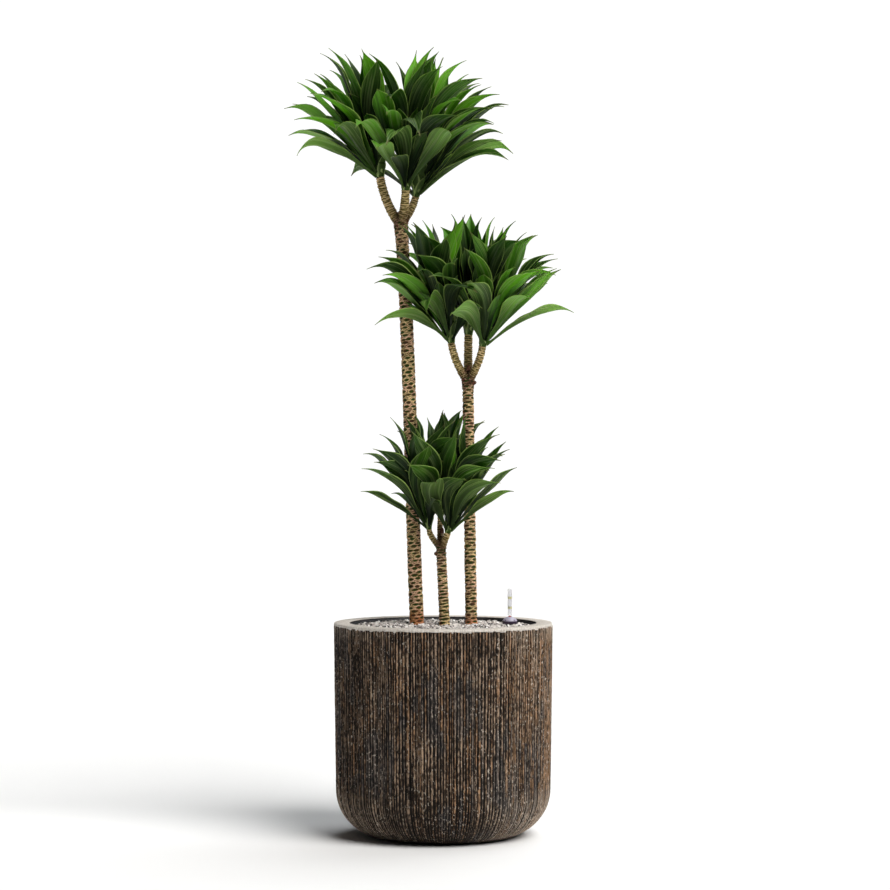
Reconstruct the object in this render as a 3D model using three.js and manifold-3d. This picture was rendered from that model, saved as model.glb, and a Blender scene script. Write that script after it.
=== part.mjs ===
// A potted dracaena of the compact-leaved kind: three bare canes of different heights, each forked
// into three leafy shoots, standing in a round ribbed planter topped with pale gravel, with a float
// gauge for the water level. Millimetres, +Z up, front is -Y. The origin is the centre of the base.

import * as THREE from "three";
import { mergeVertices } from "three/addons/utils/BufferGeometryUtils.js";
import Module from "manifold-3d";

const wasm = await Module();
wasm.setup();

// ---------------------------------------------------------------- driving dimensions

const PLANTER_HEIGHT = 380;
const PLANTER_RADIUS = 195; // over the ribs, at the rim
const PLANTER_FOOT_RADIUS = 191; // over the ribs, where the rounded foot begins
const FOOT_ROUND = 84; // radius of the rounded foot
const MOUTH_RADIUS = 167; // inner edge of the flat rim
const RIM_LIP = 4.5; // height of the smooth band above the ribs
const RIB_COUNT = 44;
const RIB_DEPTH = 3.4; // of the deepest groove between two ribs
const RIB_UNEVENNESS = 1.2; // by which a rib's top can lie lower than the highest
const RIB_SHOULDER = 0.13; // share of a rib's width on which it falls to a groove, on each side
const FLOOR_THICKNESS = 16;

const LINER_WALL = 2.5;
const LINER_DROP = 3; // liner's edge below the rim
const ROUND_SIDES = 32; // facets round the planter's inside
const SEAT_GAP = 0.3; // clearance where one piece sits in or on another
const SUBSTRATE_TOP = 356;
const GRAVEL_TOP = 373; // mean height of the gravel
const PEBBLE_RELIEF = 2.2;
const GRAVEL_RINGS = 11;
const GRAVEL_SIDES = 48;

const CANE_BURIED = 150; // length of cane below the gravel
const SCAR_PITCH = 32; // distance between two leaf-scar ridges on a cane
const SCAR_HEIGHT = 0.7;

const GOLDEN_ANGLE = 137.508;

// Each plant: its cane's path from the gravel to the fork, the cane's radius at both ends, the
// crown's leaves (number, length, width, bearing of the lowest, and how far it leans from upright),
// and its shoots. A shoot has the point where the leaves begin, its sideways lean for each
// millimetre of height, the length that carries leaves, and the radius of its branch.
const PLANTS = [
  {
    name: "tall",
    path: [[-47, 36, GRAVEL_TOP], [-57, 36, 600], [-60, 36, 880], [-76, 36, 1100]],
    radius: [12.6, 11.4],
    leaves: { number: 84, length: 208, width: 38, bearing: 200, lowest: 64 },
    shoots: [
      { name: "left", root: [-113, 30, 1179], lean: [-0.16, -0.02], length: 64, branch: 7.8 },
      { name: "front", root: [-67, 14, 1154], lean: [0.04, -0.14], length: 96, branch: 7.4 },
      { name: "right", root: [-50, 60, 1146], lean: [0.2, 0.14], length: 96, branch: 6.6 },
    ],
  },
  {
    name: "middle",
    path: [[51, 36, GRAVEL_TOP], [49, 36, 520], [46, 36, 690], [45, 36, 818]],
    radius: [10.6, 9.8],
    leaves: { number: 78, length: 187, width: 38, bearing: 215, lowest: 57 },
    shoots: [
      { name: "left", root: [15, 22, 881], lean: [-0.14, -0.1], length: 78, branch: 6.6 },
      { name: "back", root: [46, 60, 896], lean: [0.02, 0.16], length: 78, branch: 7.4 },
      { name: "right", root: [71, 20, 874], lean: [0.16, -0.1], length: 78, branch: 6.6 },
    ],
  },
  {
    name: "short",
    path: [[3, 20, GRAVEL_TOP], [1, 20, 425], [-2, 20, 475], [-4, 20, 518]],
    radius: [9.4, 8.6],
    leaves: { number: 58, length: 168, width: 36, bearing: 197, lowest: 53 },
    shoots: [
      { name: "left", root: [-25, 10, 546], lean: [-0.1, -0.16], length: 74, branch: 4.8 },
      { name: "front", root: [8, 0, 540], lean: [0.26, -0.18], length: 74, branch: 5.6 },
      { name: "back", root: [-5, 42, 566], lean: [0.04, 0.16], length: 66, branch: 5 },
    ],
  },
];

const GAUGE_PLACE = [120, 16]; // x and y of the gauge
const GAUGE_FOOT = 32; // height of the pipe's lower end
const GAUGE_PIPE_RADIUS = 9;
const GAUGE_COLLAR_RADIUS = 13.5;
const GAUGE_COLLAR_HEIGHT = 14;
const GAUGE_TUBE_RADIUS = 4;
const GAUGE_TUBE_TOP = 439;
const GAUGE_SIDES = 12;
const GAUGE_POINTER_TOP = 391; // tip of the red pointer when the float is down

// ---------------------------------------------------------------- materials

const finish = (color, roughness, extra = {}) =>
  new THREE.MeshStandardMaterial({ color, roughness, metalness: 0, ...extra });

const RIBBED_STONE = finish(0x4a3a2e, 0.85);
const BLACK_PLASTIC = finish(0x1c1d1f, 0.6);
const CLAY_GRANULES = finish(0x6e4a38, 0.95);
const PALE_GRAVEL = finish(0xcfc8c0, 0.8);
const CANE_BARK = finish(0x8f7450, 0.85);
const LEAF_GREEN = finish(0x1f4a16, 0.4);
const GAUGE_GREY = finish(0x4b4553, 0.45);
const CLEAR_PLASTIC = finish(0xe6ebec, 0.1, { transparent: true, opacity: 0.35 });
const POINTER_RED = finish(0xb3201c, 0.4);

// ---------------------------------------------------------------- small tools

const vec = (x, y, z) => new THREE.Vector3(x, y, z);
const UP = vec(0, 0, 1);
const radians = THREE.MathUtils.degToRad;
const mix = THREE.MathUtils.lerp;

// A repeatable draw from 0 to 1 for a numbered piece and one of its properties.
function draw(number, property) {
  const value = Math.sin(number * 12.9898 + property * 78.233) * 43758.5453;
  return value - Math.floor(value);
}

// A closed three.js geometry as a solid, with its faces pointing out. Its corners are rounded to a
// micron, so that corners which are closer than that become one.
function solidOf(geometry) {
  const bare = geometry.clone();
  bare.deleteAttribute("normal");
  bare.deleteAttribute("uv");
  const { array } = bare.attributes.position;
  array.forEach((value, i) => (array[i] = Math.round(value * 1000) / 1000));
  const merged = mergeVertices(bare, 5e-4);
  const make = (triVerts) =>
    new wasm.Manifold(
      new wasm.Mesh({ numProp: 3, vertProperties: merged.attributes.position.array, triVerts }),
    );
  const index = Uint32Array.from(merged.index.array);
  const corners = [];
  for (let i = 0; i < index.length; i += 3) {
    const [a, b, c] = index.subarray(i, i + 3);
    if (a !== b && b !== c && a !== c) corners.push(a, b, c);
  }
  const solid = make(Uint32Array.from(corners));
  return solid.volume() > 0 ? solid : make(Uint32Array.from(corners).reverse());
}

// A solid as a three.js geometry.
function geometryOf(solid) {
  const { numProp, vertProperties, triVerts, numVert } = solid.getMesh();
  const positions = new Float32Array(numVert * 3);
  for (let i = 0; i < numVert; i++)
    positions.set(vertProperties.subarray(i * numProp, i * numProp + 3), i * 3);
  const geometry = new THREE.BufferGeometry();
  geometry.setAttribute("position", new THREE.BufferAttribute(positions, 3));
  geometry.setIndex(new THREE.BufferAttribute(triVerts, 1));
  geometry.computeVertexNormals();
  return geometry;
}

// Pieces that grew together, as one body: no loose scraps, and any sealed hollow filled. The
// second pass is for the rounding of the corners, which can pinch off a scrap or a hollow.
function grownTogether(parts) {
  const largest = (solid) => solid.decompose().reduce((a, b) => (b.volume() > a.volume() ? b : a));
  return largest(solidOf(geometryOf(largest(wasm.Manifold.union(parts)))));
}

// A solid as a named mesh.
function meshOf(name, solid, material) {
  const mesh = new THREE.Mesh(geometryOf(solid), material);
  mesh.name = name;
  return mesh;
}

// A profile of [radius, height] points turned about the Z axis.
function turned(profile, segments) {
  const points = profile.map(([r, z]) => new THREE.Vector2(r, z));
  return new THREE.LatheGeometry(points, segments).rotateX(Math.PI / 2);
}

// Moves every vertex of a turned body: change(radius, column, z) gives its new radius, its new
// share of a turn and its new height. The columns are counted from the +X axis.
function reshape(geometry, columns, change) {
  const at = geometry.attributes.position;
  for (let i = 0; i < at.count; i++) {
    const x = at.getX(i);
    const y = at.getY(i);
    const column = Math.round((Math.atan2(y, x) / (2 * Math.PI)) * columns + columns) % columns;
    const [r, share, z] = change(Math.hypot(x, y), column, at.getZ(i));
    const angle = 2 * Math.PI * share;
    at.setXYZ(i, r * Math.cos(angle), r * Math.sin(angle), z);
  }
  return geometry;
}

// Points on the quarter round between a floor at height z and a wall of radius r, inside that wall.
function roundedCorner(r, z, round, steps) {
  return Array.from({ length: steps + 1 }, (_, i) => {
    const a = (Math.PI / 2) * (i / steps);
    return [r - round + round * Math.sin(a), z + round - round * Math.cos(a)];
  });
}

// A closed tube along a curve. radiusAt(share of length, angle, ring number) gives its radius.
function tubeAlong(curve, rings, sides, radiusAt) {
  const positions = [];
  const index = [];
  const across = vec(1, 0, 0);
  for (let i = 0; i <= rings; i++) {
    const share = i / rings;
    const centre = curve.getPoint(share);
    const along = curve.getTangent(share);
    const u = across.clone().addScaledVector(along, -across.dot(along)).normalize();
    const v = along.clone().cross(u);
    for (let k = 0; k < sides; k++) {
      const angle = (2 * Math.PI * k) / sides;
      const r = radiusAt(share, angle, i);
      const p = centre.clone().addScaledVector(u, r * Math.cos(angle));
      positions.push(...p.addScaledVector(v, r * Math.sin(angle)).toArray());
    }
  }
  for (let i = 0; i < rings; i++)
    for (let k = 0; k < sides; k++) {
      const next = (k + 1) % sides;
      const a = i * sides + k;
      const b = i * sides + next;
      index.push(a, b, b + sides, a, b + sides, a + sides);
    }
  const last = rings * sides;
  for (let k = 1; k < sides - 1; k++) {
    index.push(0, k + 1, k);
    index.push(last, last + k, last + k + 1);
  }
  const geometry = new THREE.BufferGeometry();
  geometry.setAttribute("position", new THREE.Float32BufferAttribute(positions, 3));
  geometry.setIndex(index);
  return geometry;
}

// A round post standing at [x, y], for a hole or a plug.
const post = (x, y, bottom, top, radius, segments) =>
  solidOf(turned([[0, bottom], [radius, bottom], [radius, top], [0, top]], segments)).translate([x, y, 0]);

// ---------------------------------------------------------------- planter, liner and fill

// Share of a turn at which the groove before a numbered rib lies. The ribs are unevenly wide.
const ribStart = (rib) => (rib + 0.5 * draw(rib % RIB_COUNT, 1)) / RIB_COUNT;

// Place and depth of a column of the ribbed side. A rib has three columns: the groove before it
// and its two shoulders.
function ribColumn(column) {
  const rib = Math.floor(column / 3);
  const start = ribStart(rib);
  const end = ribStart(rib + 1);
  const top = RIB_UNEVENNESS * draw(rib, 3);
  if (column % 3 === 0) return { share: start, depth: RIB_DEPTH * mix(0.6, 1, draw(rib, 2)) };
  return { share: mix(start, end, column % 3 === 1 ? RIB_SHOULDER : 1 - RIB_SHOULDER), depth: top };
}

// Cast stone-fibre shell: a ribbed drum with a rounded foot, a smooth flat rim and a plain inside.
function planter() {
  const ribTop = PLANTER_HEIGHT - RIM_LIP;
  const lipRadius = PLANTER_RADIUS - RIB_DEPTH / 2;
  const outline = [
    [0, 0],
    ...roundedCorner(PLANTER_FOOT_RADIUS, 0, FOOT_ROUND, 4),
    [PLANTER_RADIUS, ribTop],
    [lipRadius, ribTop + 0.5],
    [lipRadius, PLANTER_HEIGHT],
    [0, PLANTER_HEIGHT],
  ];
  const columns = 3 * RIB_COUNT;
  const outside = reshape(turned(outline, columns), columns, (r, column, z) => {
    const { share, depth } = ribColumn(column);
    const ribbed = z > 0 && z <= ribTop;
    return [ribbed ? r - depth * Math.min(1, z / FOOT_ROUND) : r, share, z];
  });
  const mouth = [
    [0, FLOOR_THICKNESS],
    ...roundedCorner(MOUTH_RADIUS, FLOOR_THICKNESS, FOOT_ROUND - 18, 3),
    [MOUTH_RADIUS, PLANTER_HEIGHT + 10],
    [0, PLANTER_HEIGHT + 10],
  ];
  return solidOf(outside).subtract(solidOf(turned(mouth, ROUND_SIDES)));
}

const LINER_RADIUS = MOUTH_RADIUS - 0.8;
const LINER_FLOOR = FLOOR_THICKNESS + SEAT_GAP;
const LINER_ROUND = FOOT_ROUND - 16;

// Thin watertight tub that lines the planter and holds the water.
function liner() {
  const inner = LINER_RADIUS - LINER_WALL;
  const rise = roundedCorner(LINER_RADIUS, LINER_FLOOR, LINER_ROUND, 3);
  const fall = roundedCorner(inner, LINER_FLOOR + LINER_WALL, LINER_ROUND - LINER_WALL, 3).reverse();
  const edge = PLANTER_HEIGHT - LINER_DROP;
  const wall = [[LINER_RADIUS, edge], [inner, edge]];
  const middle = [0, LINER_FLOOR + LINER_WALL];
  return solidOf(turned([[0, LINER_FLOOR], ...rise, ...wall, ...fall, middle], ROUND_SIDES));
}

const FILL_RADIUS = LINER_RADIUS - LINER_WALL - 0.8;
const FILL_FLOOR = LINER_FLOOR + LINER_WALL + SEAT_GAP;

// Plain holes for the canes and the gauge, a little wider than what stands in them.
function holes(bottomOfCanes, bottomOfGauge) {
  const sides = 12;
  const clear = (radius) => (radius + 2 * SEAT_GAP) / Math.cos(Math.PI / sides);
  const top = GRAVEL_TOP + 30;
  const cut = PLANTS.map(({ path: [[x, y]], radius: [radius] }) =>
    post(x, y, bottomOfCanes, top, clear(radius), sides),
  );
  cut.push(post(...GAUGE_PLACE, bottomOfGauge, top, clear(GAUGE_PIPE_RADIUS), sides));
  return wasm.Manifold.union(cut);
}

// Expanded-clay granules that fill the liner round the canes' roots, as one body.
function substrate() {
  const body = turned(
    [
      [0, FILL_FLOOR],
      ...roundedCorner(FILL_RADIUS, FILL_FLOOR, LINER_ROUND - LINER_WALL - 1, 3),
      [FILL_RADIUS, SUBSTRATE_TOP],
      [0, SUBSTRATE_TOP],
    ],
    ROUND_SIDES,
  );
  return solidOf(body).subtract(holes(GRAVEL_TOP - CANE_BURIED - SEAT_GAP, GAUGE_FOOT - SEAT_GAP));
}

// Layer of pale gravel. Its top is raised into stones by a formula.
function gravel() {
  const bottom = SUBSTRATE_TOP + SEAT_GAP;
  const radius = FILL_RADIUS - 0.4;
  const inward = Array.from({ length: GRAVEL_RINGS }, (_, i) => 1 - (i + 1) / GRAVEL_RINGS);
  const profile = [
    [0, bottom],
    [radius, bottom],
    [radius, GRAVEL_TOP - 2],
    ...inward.map((share) => [radius * share, GRAVEL_TOP]),
  ];
  const stones = reshape(turned(profile, GRAVEL_SIDES), GRAVEL_SIDES, (r, sector, z) => {
    const share = sector / GRAVEL_SIDES;
    const ring = Math.round((r / radius) * GRAVEL_RINGS);
    if (z < GRAVEL_TOP || ring === 0) return [r, share, z];
    const high = (ring + sector) % 2 ? 1 : -1;
    const relief = PEBBLE_RELIEF * high * mix(0.4, 1, draw(ring * GRAVEL_SIDES + sector, 2));
    return [r, share, z + relief];
  });
  return solidOf(stones).subtract(holes(bottom - 5, bottom - 5));
}

// ---------------------------------------------------------------- canes

const CANE_SIDES = 7;
const BRANCH_SIDES = 6;
const RING_SPACING = SCAR_PITCH / 2;

const bezier = (points) => new THREE.CubicBezierCurve3(...points.map((p) => vec(...p)));

const shootAxis = ({ lean: [x, y] }) => vec(x, y, 1).normalize();

// Old leaf scars: ridges that run round the cane, half a step out between its two sides.
function scarRelief(ring, angle) {
  const side = Math.cos(angle) > 0 ? 0 : 1;
  return SCAR_HEIGHT * ((ring + side) % 2 ? 1 : -1);
}

// The branch that carries a shoot, from inside the fork to where the leaves begin.
function branchCurve(plant, shoot) {
  const fork = vec(...plant.path[3]);
  const root = vec(...shoot.root);
  const reach = root.distanceTo(fork);
  const start = fork.clone().add(vec(0, 0, -8));
  const outward = root.clone().sub(fork).setZ(0).normalize();
  const first = start.clone().addScaledVector(outward, reach * 0.22).add(vec(0, 0, reach * 0.3));
  const second = root.clone().addScaledVector(shootAxis(shoot), -reach * 0.4);
  return new THREE.CubicBezierCurve3(start, first, second, root);
}

// A cane with its fork and branches: one grown piece, plain below the gravel.
function cane(plant) {
  const [foot] = plant.path;
  const [low, high] = plant.radius;
  const trunk = bezier(plant.path);
  const rings = Math.round(trunk.getLength() / RING_SPACING);
  const parts = [
    solidOf(
      tubeAlong(trunk, rings, CANE_SIDES, (share, angle, ring) => {
        const swell = share > 0.96 ? 1.12 : 1;
        return ring < 2 ? low : mix(low, high, share) * swell + scarRelief(ring, angle);
      }),
    ),
    post(foot[0], foot[1], GRAVEL_TOP - CANE_BURIED, GRAVEL_TOP + 1, low, CANE_SIDES),
  ];
  for (const shoot of plant.shoots) {
    const branch = branchCurve(plant, shoot);
    const steps = Math.round(branch.getLength() / RING_SPACING);
    parts.push(
      solidOf(
        tubeAlong(branch, steps, BRANCH_SIDES, (share, angle, ring) =>
          shoot.branch * mix(1.12, 1, share) + 0.6 * scarRelief(ring, angle),
        ),
      ),
    );
  }
  return grownTogether(parts);
}

// ---------------------------------------------------------------- leafy shoots

const inPlan = (v) => vec(v.x, v.y, 0);

// The middle of a shoot's leafy length.
const shootMiddle = (shoot) => vec(...shoot.root).addScaledVector(shootAxis(shoot), shoot.length / 2);

// The shoot that a leaf grows on: most often the one that stands furthest out on its side.
function shootFacing(plant, direction, key) {
  const reach = plant.shoots.map((shoot, k) => direction.dot(shootMiddle(shoot)) + 42 * draw(key, 20 + k));
  return plant.shoots[reach.indexOf(Math.max(...reach))];
}

const crownCentre = (plant) =>
  plant.shoots.reduce((sum, shoot) => sum.add(inPlan(shootMiddle(shoot))), vec(0, 0, 0)).divideScalar(3);

// Canes and branches as strings of points with a radius, which leaves keep clear of.
const WOOD = PLANTS.flatMap((plant) => [
  { radius: plant.radius[0] + SCAR_HEIGHT, points: bezier(plant.path).getPoints(60) },
  ...plant.shoots.map((shoot) => ({
    radius: shoot.branch + SCAR_HEIGHT,
    points: branchCurve(plant, shoot).getPoints(8),
  })),
]);

// Radius of a leafy stem with the leaf feet that clasp it, at a share of its length.
const stemRadius = (shoot, share) => shoot.branch + 8 * Math.sin(Math.PI * Math.min(1, share + 0.04)) ** 0.8;

const LEAF_WIDEST = 0.45; // share of a leaf's length at which it is widest
const RISE_FROM_STEM = 22; // degrees by which a leaf at least leaves the stem
const LOWEST_SAG = 15; // degrees by which the oldest leaf hangs lower than the dome
const SAGGING = 0.07; // share of the leaves that sag
const LEAF_FOOT = 0.22; // width of its clasping foot as a share of its full width

// The share of its full width that a leaf has at share t of its length.
function widthShare(t) {
  if (t < LEAF_WIDEST) return mix(LEAF_FOOT, 1, Math.sin((Math.PI / 2) * (t / LEAF_WIDEST)));
  return Math.cos((Math.PI / 2) * ((t - LEAF_WIDEST) / (1 - LEAF_WIDEST))) ** 1.25;
}

// One leaf's midline as a Bezier curve, with its sideways direction. The leaves of a crown follow
// one spiral from the lowest to the top one and point evenly over a dome. To pass another leaf, a
// leaf gives way by a small turn and lift (degrees), and it can be shorter than its own length.
function leafLine(plant, number, turn, lift, shrink) {
  const { leaves } = plant;
  const key = number + leaves.bearing;
  const height = (number + 0.5) / leaves.number;
  const bearing = radians(leaves.bearing + GOLDEN_ANGLE * number);
  const direction = vec(Math.cos(bearing), Math.sin(bearing), 0);
  const shoot = shootFacing(plant, direction, key);
  const aim = crownCentre(plant).addScaledVector(direction, leaves.length * 0.7);
  const out = aim.sub(inPlan(shootMiddle(shoot))).normalize().applyAxisAngle(UP, radians(turn));
  const sag = LOWEST_SAG * Math.max(0, 1 - height / SAGGING);
  const spread = Math.acos(mix(Math.cos(radians(leaves.lowest)), 1, height)) + radians(sag - lift);
  const bend = radians(mix(48, 26, height) * mix(0.5, 1.4, draw(key, 5)));
  const length = leaves.length * mix(0.9, 1.06, draw(key, 6)) * mix(1, 0.8, height ** 4) * shrink;
  const towards = (angle) => vec(0, 0, Math.cos(angle)).addScaledVector(out, Math.sin(angle));
  const base = vec(...shoot.root)
    .addScaledVector(shootAxis(shoot), shoot.length * mix(0.05, 0.97, height))
    .addScaledVector(out, stemRadius(shoot, height) - 4);
  const tip = base.clone().addScaledVector(towards(spread), length * 0.94);
  return {
    shoot,
    curve: new THREE.CubicBezierCurve3(
      base,
      base.clone().addScaledVector(towards(spread * 0.5 + radians(RISE_FROM_STEM)), length * 0.34),
      tip.clone().addScaledVector(towards(spread + bend), -length * 0.34),
      tip,
    ),
    side: vec(-out.y, out.x, 0),
    roll: radians(mix(-40, 48, draw(key, 8))),
    width: leaves.width * mix(0.88, 1.06, draw(key, 7)),
  };
}

// True if a leaf passes every cane and branch.
function passesWood({ curve, width }) {
  for (let i = 2; i <= 16; i++) {
    const t = i / 16;
    const p = curve.getPoint(t);
    const reach = (width / 2) * widthShare(t) + 2;
    for (const { radius, points } of WOOD)
      for (let k = 1; k < points.length; k++) {
        const near = new THREE.Line3(points[k - 1], points[k]).closestPointToPoint(p, true, vec(0, 0, 0));
        if (near.distanceTo(p) < radius + reach) return false;
      }
  }
  return true;
}

// A leaf blade: flat above and keeled below, from a share of its length out to its tip, with some
// spare room round it where asked.
function blade({ curve, side, roll, width }, from, spare) {
  const stations = [from, 0.38, 0.72];
  const positions = [];
  for (const t of stations) {
    const along = curve.getTangent(t);
    const across = side.clone().addScaledVector(along, -side.dot(along)).normalize();
    across.applyAxisAngle(along, roll * Math.sin((Math.PI / 2) * Math.min(1, t / 0.6)));
    const below = across.clone().cross(along).normalize();
    const half = (width / 2) * widthShare(t) + spare;
    const keel = Math.max(1.2, half * 0.2) + spare;
    for (const [a, b] of [[half, -spare], [-half, -spare], [0, keel]])
      positions.push(...curve.getPoint(t).addScaledVector(across, a).addScaledVector(below, b).toArray());
  }
  positions.push(...curve.getPoint(1).toArray());
  const index = [0, 1, 2];
  for (let i = 0; i < stations.length - 1; i++)
    for (let k = 0; k < 3; k++) {
      const a = 3 * i + k;
      const b = 3 * i + ((k + 1) % 3);
      index.push(a, a + 3, b, b, a + 3, b + 3);
    }
  const last = 3 * (stations.length - 1);
  for (let k = 0; k < 3; k++) index.push(last + k, 3 * stations.length, last + ((k + 1) % 3));
  const geometry = new THREE.BufferGeometry();
  geometry.setAttribute("position", new THREE.Float32BufferAttribute(positions, 3));
  geometry.setIndex(index);
  return solidOf(geometry);
}

const TRIES = 40; // places that a leaf tries before it stays shorter
const WIDEST_TURN = 28; // degrees
const WIDEST_LIFT = 12;
const LEAF_CLEARANCE = 0.6;
const CROWDED_FOOT = 0.2; // share of its length in which a leaf may grow into others of its shoot

// The place that a leaf tries at a step of its widening spiral, as a turn and a lift in degrees.
function placeTried(step) {
  const far = Math.sqrt(step / TRIES);
  const around = radians(GOLDEN_ANGLE * step);
  return [WIDEST_TURN * far * Math.cos(around), WIDEST_LIFT * far * Math.sin(around)];
}

const apart = (box, other) =>
  box.min.some((low, k) => low > other.max[k]) || box.max.some((high, k) => high < other.min[k]);

const crosses = (solid, box, otherSolid, otherBox) =>
  !apart(box, otherBox) && !solid.intersect(otherSolid).isEmpty();

// The leaf where it settles: in the first place that passes the wood and every settled leaf. Where
// its own shoot is too crowded for that, it crosses as few leaves of that shoot as it can and grows
// into them, but it never crosses a leaf of another shoot.
function settledLeaf(plant, number, settled) {
  for (const shrink of [1, 0.86, 0.72, 0.6]) {
    let best = null;
    for (let step = 0; step < TRIES; step++) {
      const leaf = leafLine(plant, number, ...placeTried(step), shrink);
      if (!passesWood(leaf)) continue;
      const wide = blade(leaf, 0, LEAF_CLEARANCE);
      const box = wide.boundingBox();
      const others = settled.filter((other) => other.shoot !== leaf.shoot);
      if (others.some((other) => crosses(wide, box, other.solid, other.box))) continue;
      const outer = blade(leaf, CROWDED_FOOT, 0);
      const own = settled.filter((other) => other.shoot === leaf.shoot);
      const crossings = own.filter((other) => crosses(outer, box, other.outer, other.box)).length;
      if (!best || crossings < best.crossings)
        best = { ...leaf, box, outer, crossings, solid: blade(leaf, 0, 0) };
      if (best.crossings === 0) return best;
    }
    if (best) return best;
  }
  return null;
}

// All leaves of a plant, added to those that have settled before.
function addCrown(plant, settled) {
  for (let number = 0; number < plant.leaves.number; number++) {
    const leaf = settledLeaf(plant, number, settled);
    if (leaf) settled.push(leaf);
  }
}

// One leafy shoot: a green stem and its leaves, all grown together.
function leafyShoot(shoot, leaves) {
  const axis = shootAxis(shoot);
  const root = vec(...shoot.root);
  const foot = root.clone().addScaledVector(axis, SEAT_GAP);
  const top = root.clone().addScaledVector(axis, shoot.length);
  const axisLine = new THREE.LineCurve3(foot, top);
  const stem = solidOf(tubeAlong(axisLine, 4, BRANCH_SIDES, (share) => stemRadius(shoot, share)));
  return grownTogether([stem, ...leaves.map((leaf) => leaf.solid)]);
}

// ---------------------------------------------------------------- water gauge

// Collar on the gravel and the pipe below it, which the float rises in.
function gaugePipe() {
  const top = GRAVEL_TOP + 2 + GAUGE_COLLAR_HEIGHT;
  const dome = [1, 0.96, 0.82, 0.55].map((share, i) => [GAUGE_COLLAR_RADIUS * share, GRAVEL_TOP + 7 + i * 3]);
  const outside = [
    [0, GAUGE_FOOT],
    [GAUGE_PIPE_RADIUS, GAUGE_FOOT],
    [GAUGE_PIPE_RADIUS, GRAVEL_TOP + 3],
    [GAUGE_COLLAR_RADIUS, GRAVEL_TOP + 3],
    ...dome,
    [0, top],
  ];
  const solid = solidOf(turned(outside, GAUGE_SIDES));
  const bore = post(0, 0, GAUGE_FOOT - 5, GRAVEL_TOP - 4, GAUGE_PIPE_RADIUS - 1.5, GAUGE_SIDES);
  const throat = post(0, 0, GRAVEL_TOP - 6, top + 5, 2.4, GAUGE_SIDES);
  const socket = post(0, 0, top - 4, top + 5, GAUGE_TUBE_RADIUS + SEAT_GAP, GAUGE_SIDES);
  return solid.subtract(bore).subtract(throat).subtract(socket);
}

// Clear sight tube, closed at the top, standing in the collar's socket.
function gaugeTube() {
  const bottom = GRAVEL_TOP + GAUGE_COLLAR_HEIGHT - 2 + SEAT_GAP;
  const outer = post(0, 0, bottom, GAUGE_TUBE_TOP, GAUGE_TUBE_RADIUS, GAUGE_SIDES);
  return outer.subtract(post(0, 0, bottom - 5, GAUGE_TUBE_TOP - 3, GAUGE_TUBE_RADIUS - 1.1, GAUGE_SIDES));
}

// Float and its red pointer, at the foot of the pipe as when the water is low.
function gaugeFloat() {
  const body = post(0, 0, GAUGE_FOOT, GAUGE_FOOT + 60, GAUGE_PIPE_RADIUS - 2.2, GAUGE_SIDES);
  const pointer = post(0, 0, GAUGE_FOOT + 59, GAUGE_POINTER_TOP, 1.6, GAUGE_SIDES);
  return body.add(pointer);
}

// ---------------------------------------------------------------- assembly

const pottedDracaena = new THREE.Group();
pottedDracaena.add(
  meshOf("planter", planter(), RIBBED_STONE),
  meshOf("liner", liner(), BLACK_PLASTIC),
  meshOf("substrate", substrate(), CLAY_GRANULES),
  meshOf("gravel", gravel(), PALE_GRAVEL),
);

const leaves = [];
for (const plant of PLANTS) {
  pottedDracaena.add(meshOf(`cane_${plant.name}`, cane(plant), CANE_BARK));
  addCrown(plant, leaves);
  for (const shoot of plant.shoots) {
    const own = leaves.filter((leaf) => leaf.shoot === shoot);
    pottedDracaena.add(meshOf(`shoot_${plant.name}_${shoot.name}`, leafyShoot(shoot, own), LEAF_GREEN));
  }
}

const gauge = new THREE.Group();
gauge.position.set(...GAUGE_PLACE, 0);
gauge.add(
  meshOf("gauge_pipe", gaugePipe(), GAUGE_GREY),
  meshOf("gauge_tube", gaugeTube(), CLEAR_PLASTIC),
  meshOf("gauge_float", gaugeFloat(), POINTER_RED),
);
pottedDracaena.add(gauge);

export default pottedDracaena;
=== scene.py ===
# A potted dracaena: three bare, forked canes with nine dense heads of leaves, in a round ribbed
# planter topped with gravel, with a water gauge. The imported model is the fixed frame, and each
# piece here is dressed in its place. Sizes are millimetres until a mesh is made, then metres.

import itertools
from collections import namedtuple
from math import acos, cos, hypot, pi, radians, sin, sqrt

import bpy
import numpy as np
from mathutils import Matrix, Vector
from mathutils.bvhtree import BVHTree
from mathutils.kdtree import KDTree
from numpy.linalg import norm


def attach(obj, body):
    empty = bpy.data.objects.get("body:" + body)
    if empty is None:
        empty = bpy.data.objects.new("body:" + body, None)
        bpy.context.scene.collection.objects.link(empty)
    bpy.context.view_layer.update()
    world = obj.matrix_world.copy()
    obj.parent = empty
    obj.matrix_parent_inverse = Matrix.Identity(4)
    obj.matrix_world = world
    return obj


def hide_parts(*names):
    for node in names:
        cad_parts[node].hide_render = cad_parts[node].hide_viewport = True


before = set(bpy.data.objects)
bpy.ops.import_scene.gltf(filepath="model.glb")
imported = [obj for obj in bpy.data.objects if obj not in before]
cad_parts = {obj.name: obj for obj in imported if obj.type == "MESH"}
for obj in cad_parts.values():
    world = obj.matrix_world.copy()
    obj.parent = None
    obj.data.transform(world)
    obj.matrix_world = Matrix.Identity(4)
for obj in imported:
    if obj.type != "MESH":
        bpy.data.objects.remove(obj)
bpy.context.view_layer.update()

# ------------ camera, floor and light
# The planter stands on a white studio floor before a white surround, seen level from 4.7 m. Two
# soft suns light it from the right, one in front and one behind, so its shadow falls to the left.

MM = 0.001
PHOTO_SIDE = 890  # pixels
FOCAL_PIXELS = 2627
SENSOR = 36
CAMERA_PLACE = (3.6, -4700, 697)


def linked(name, data):
    """A new object in the scene."""
    made = bpy.data.objects.new(name, data)
    bpy.context.scene.collection.objects.link(made)
    return made


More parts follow.
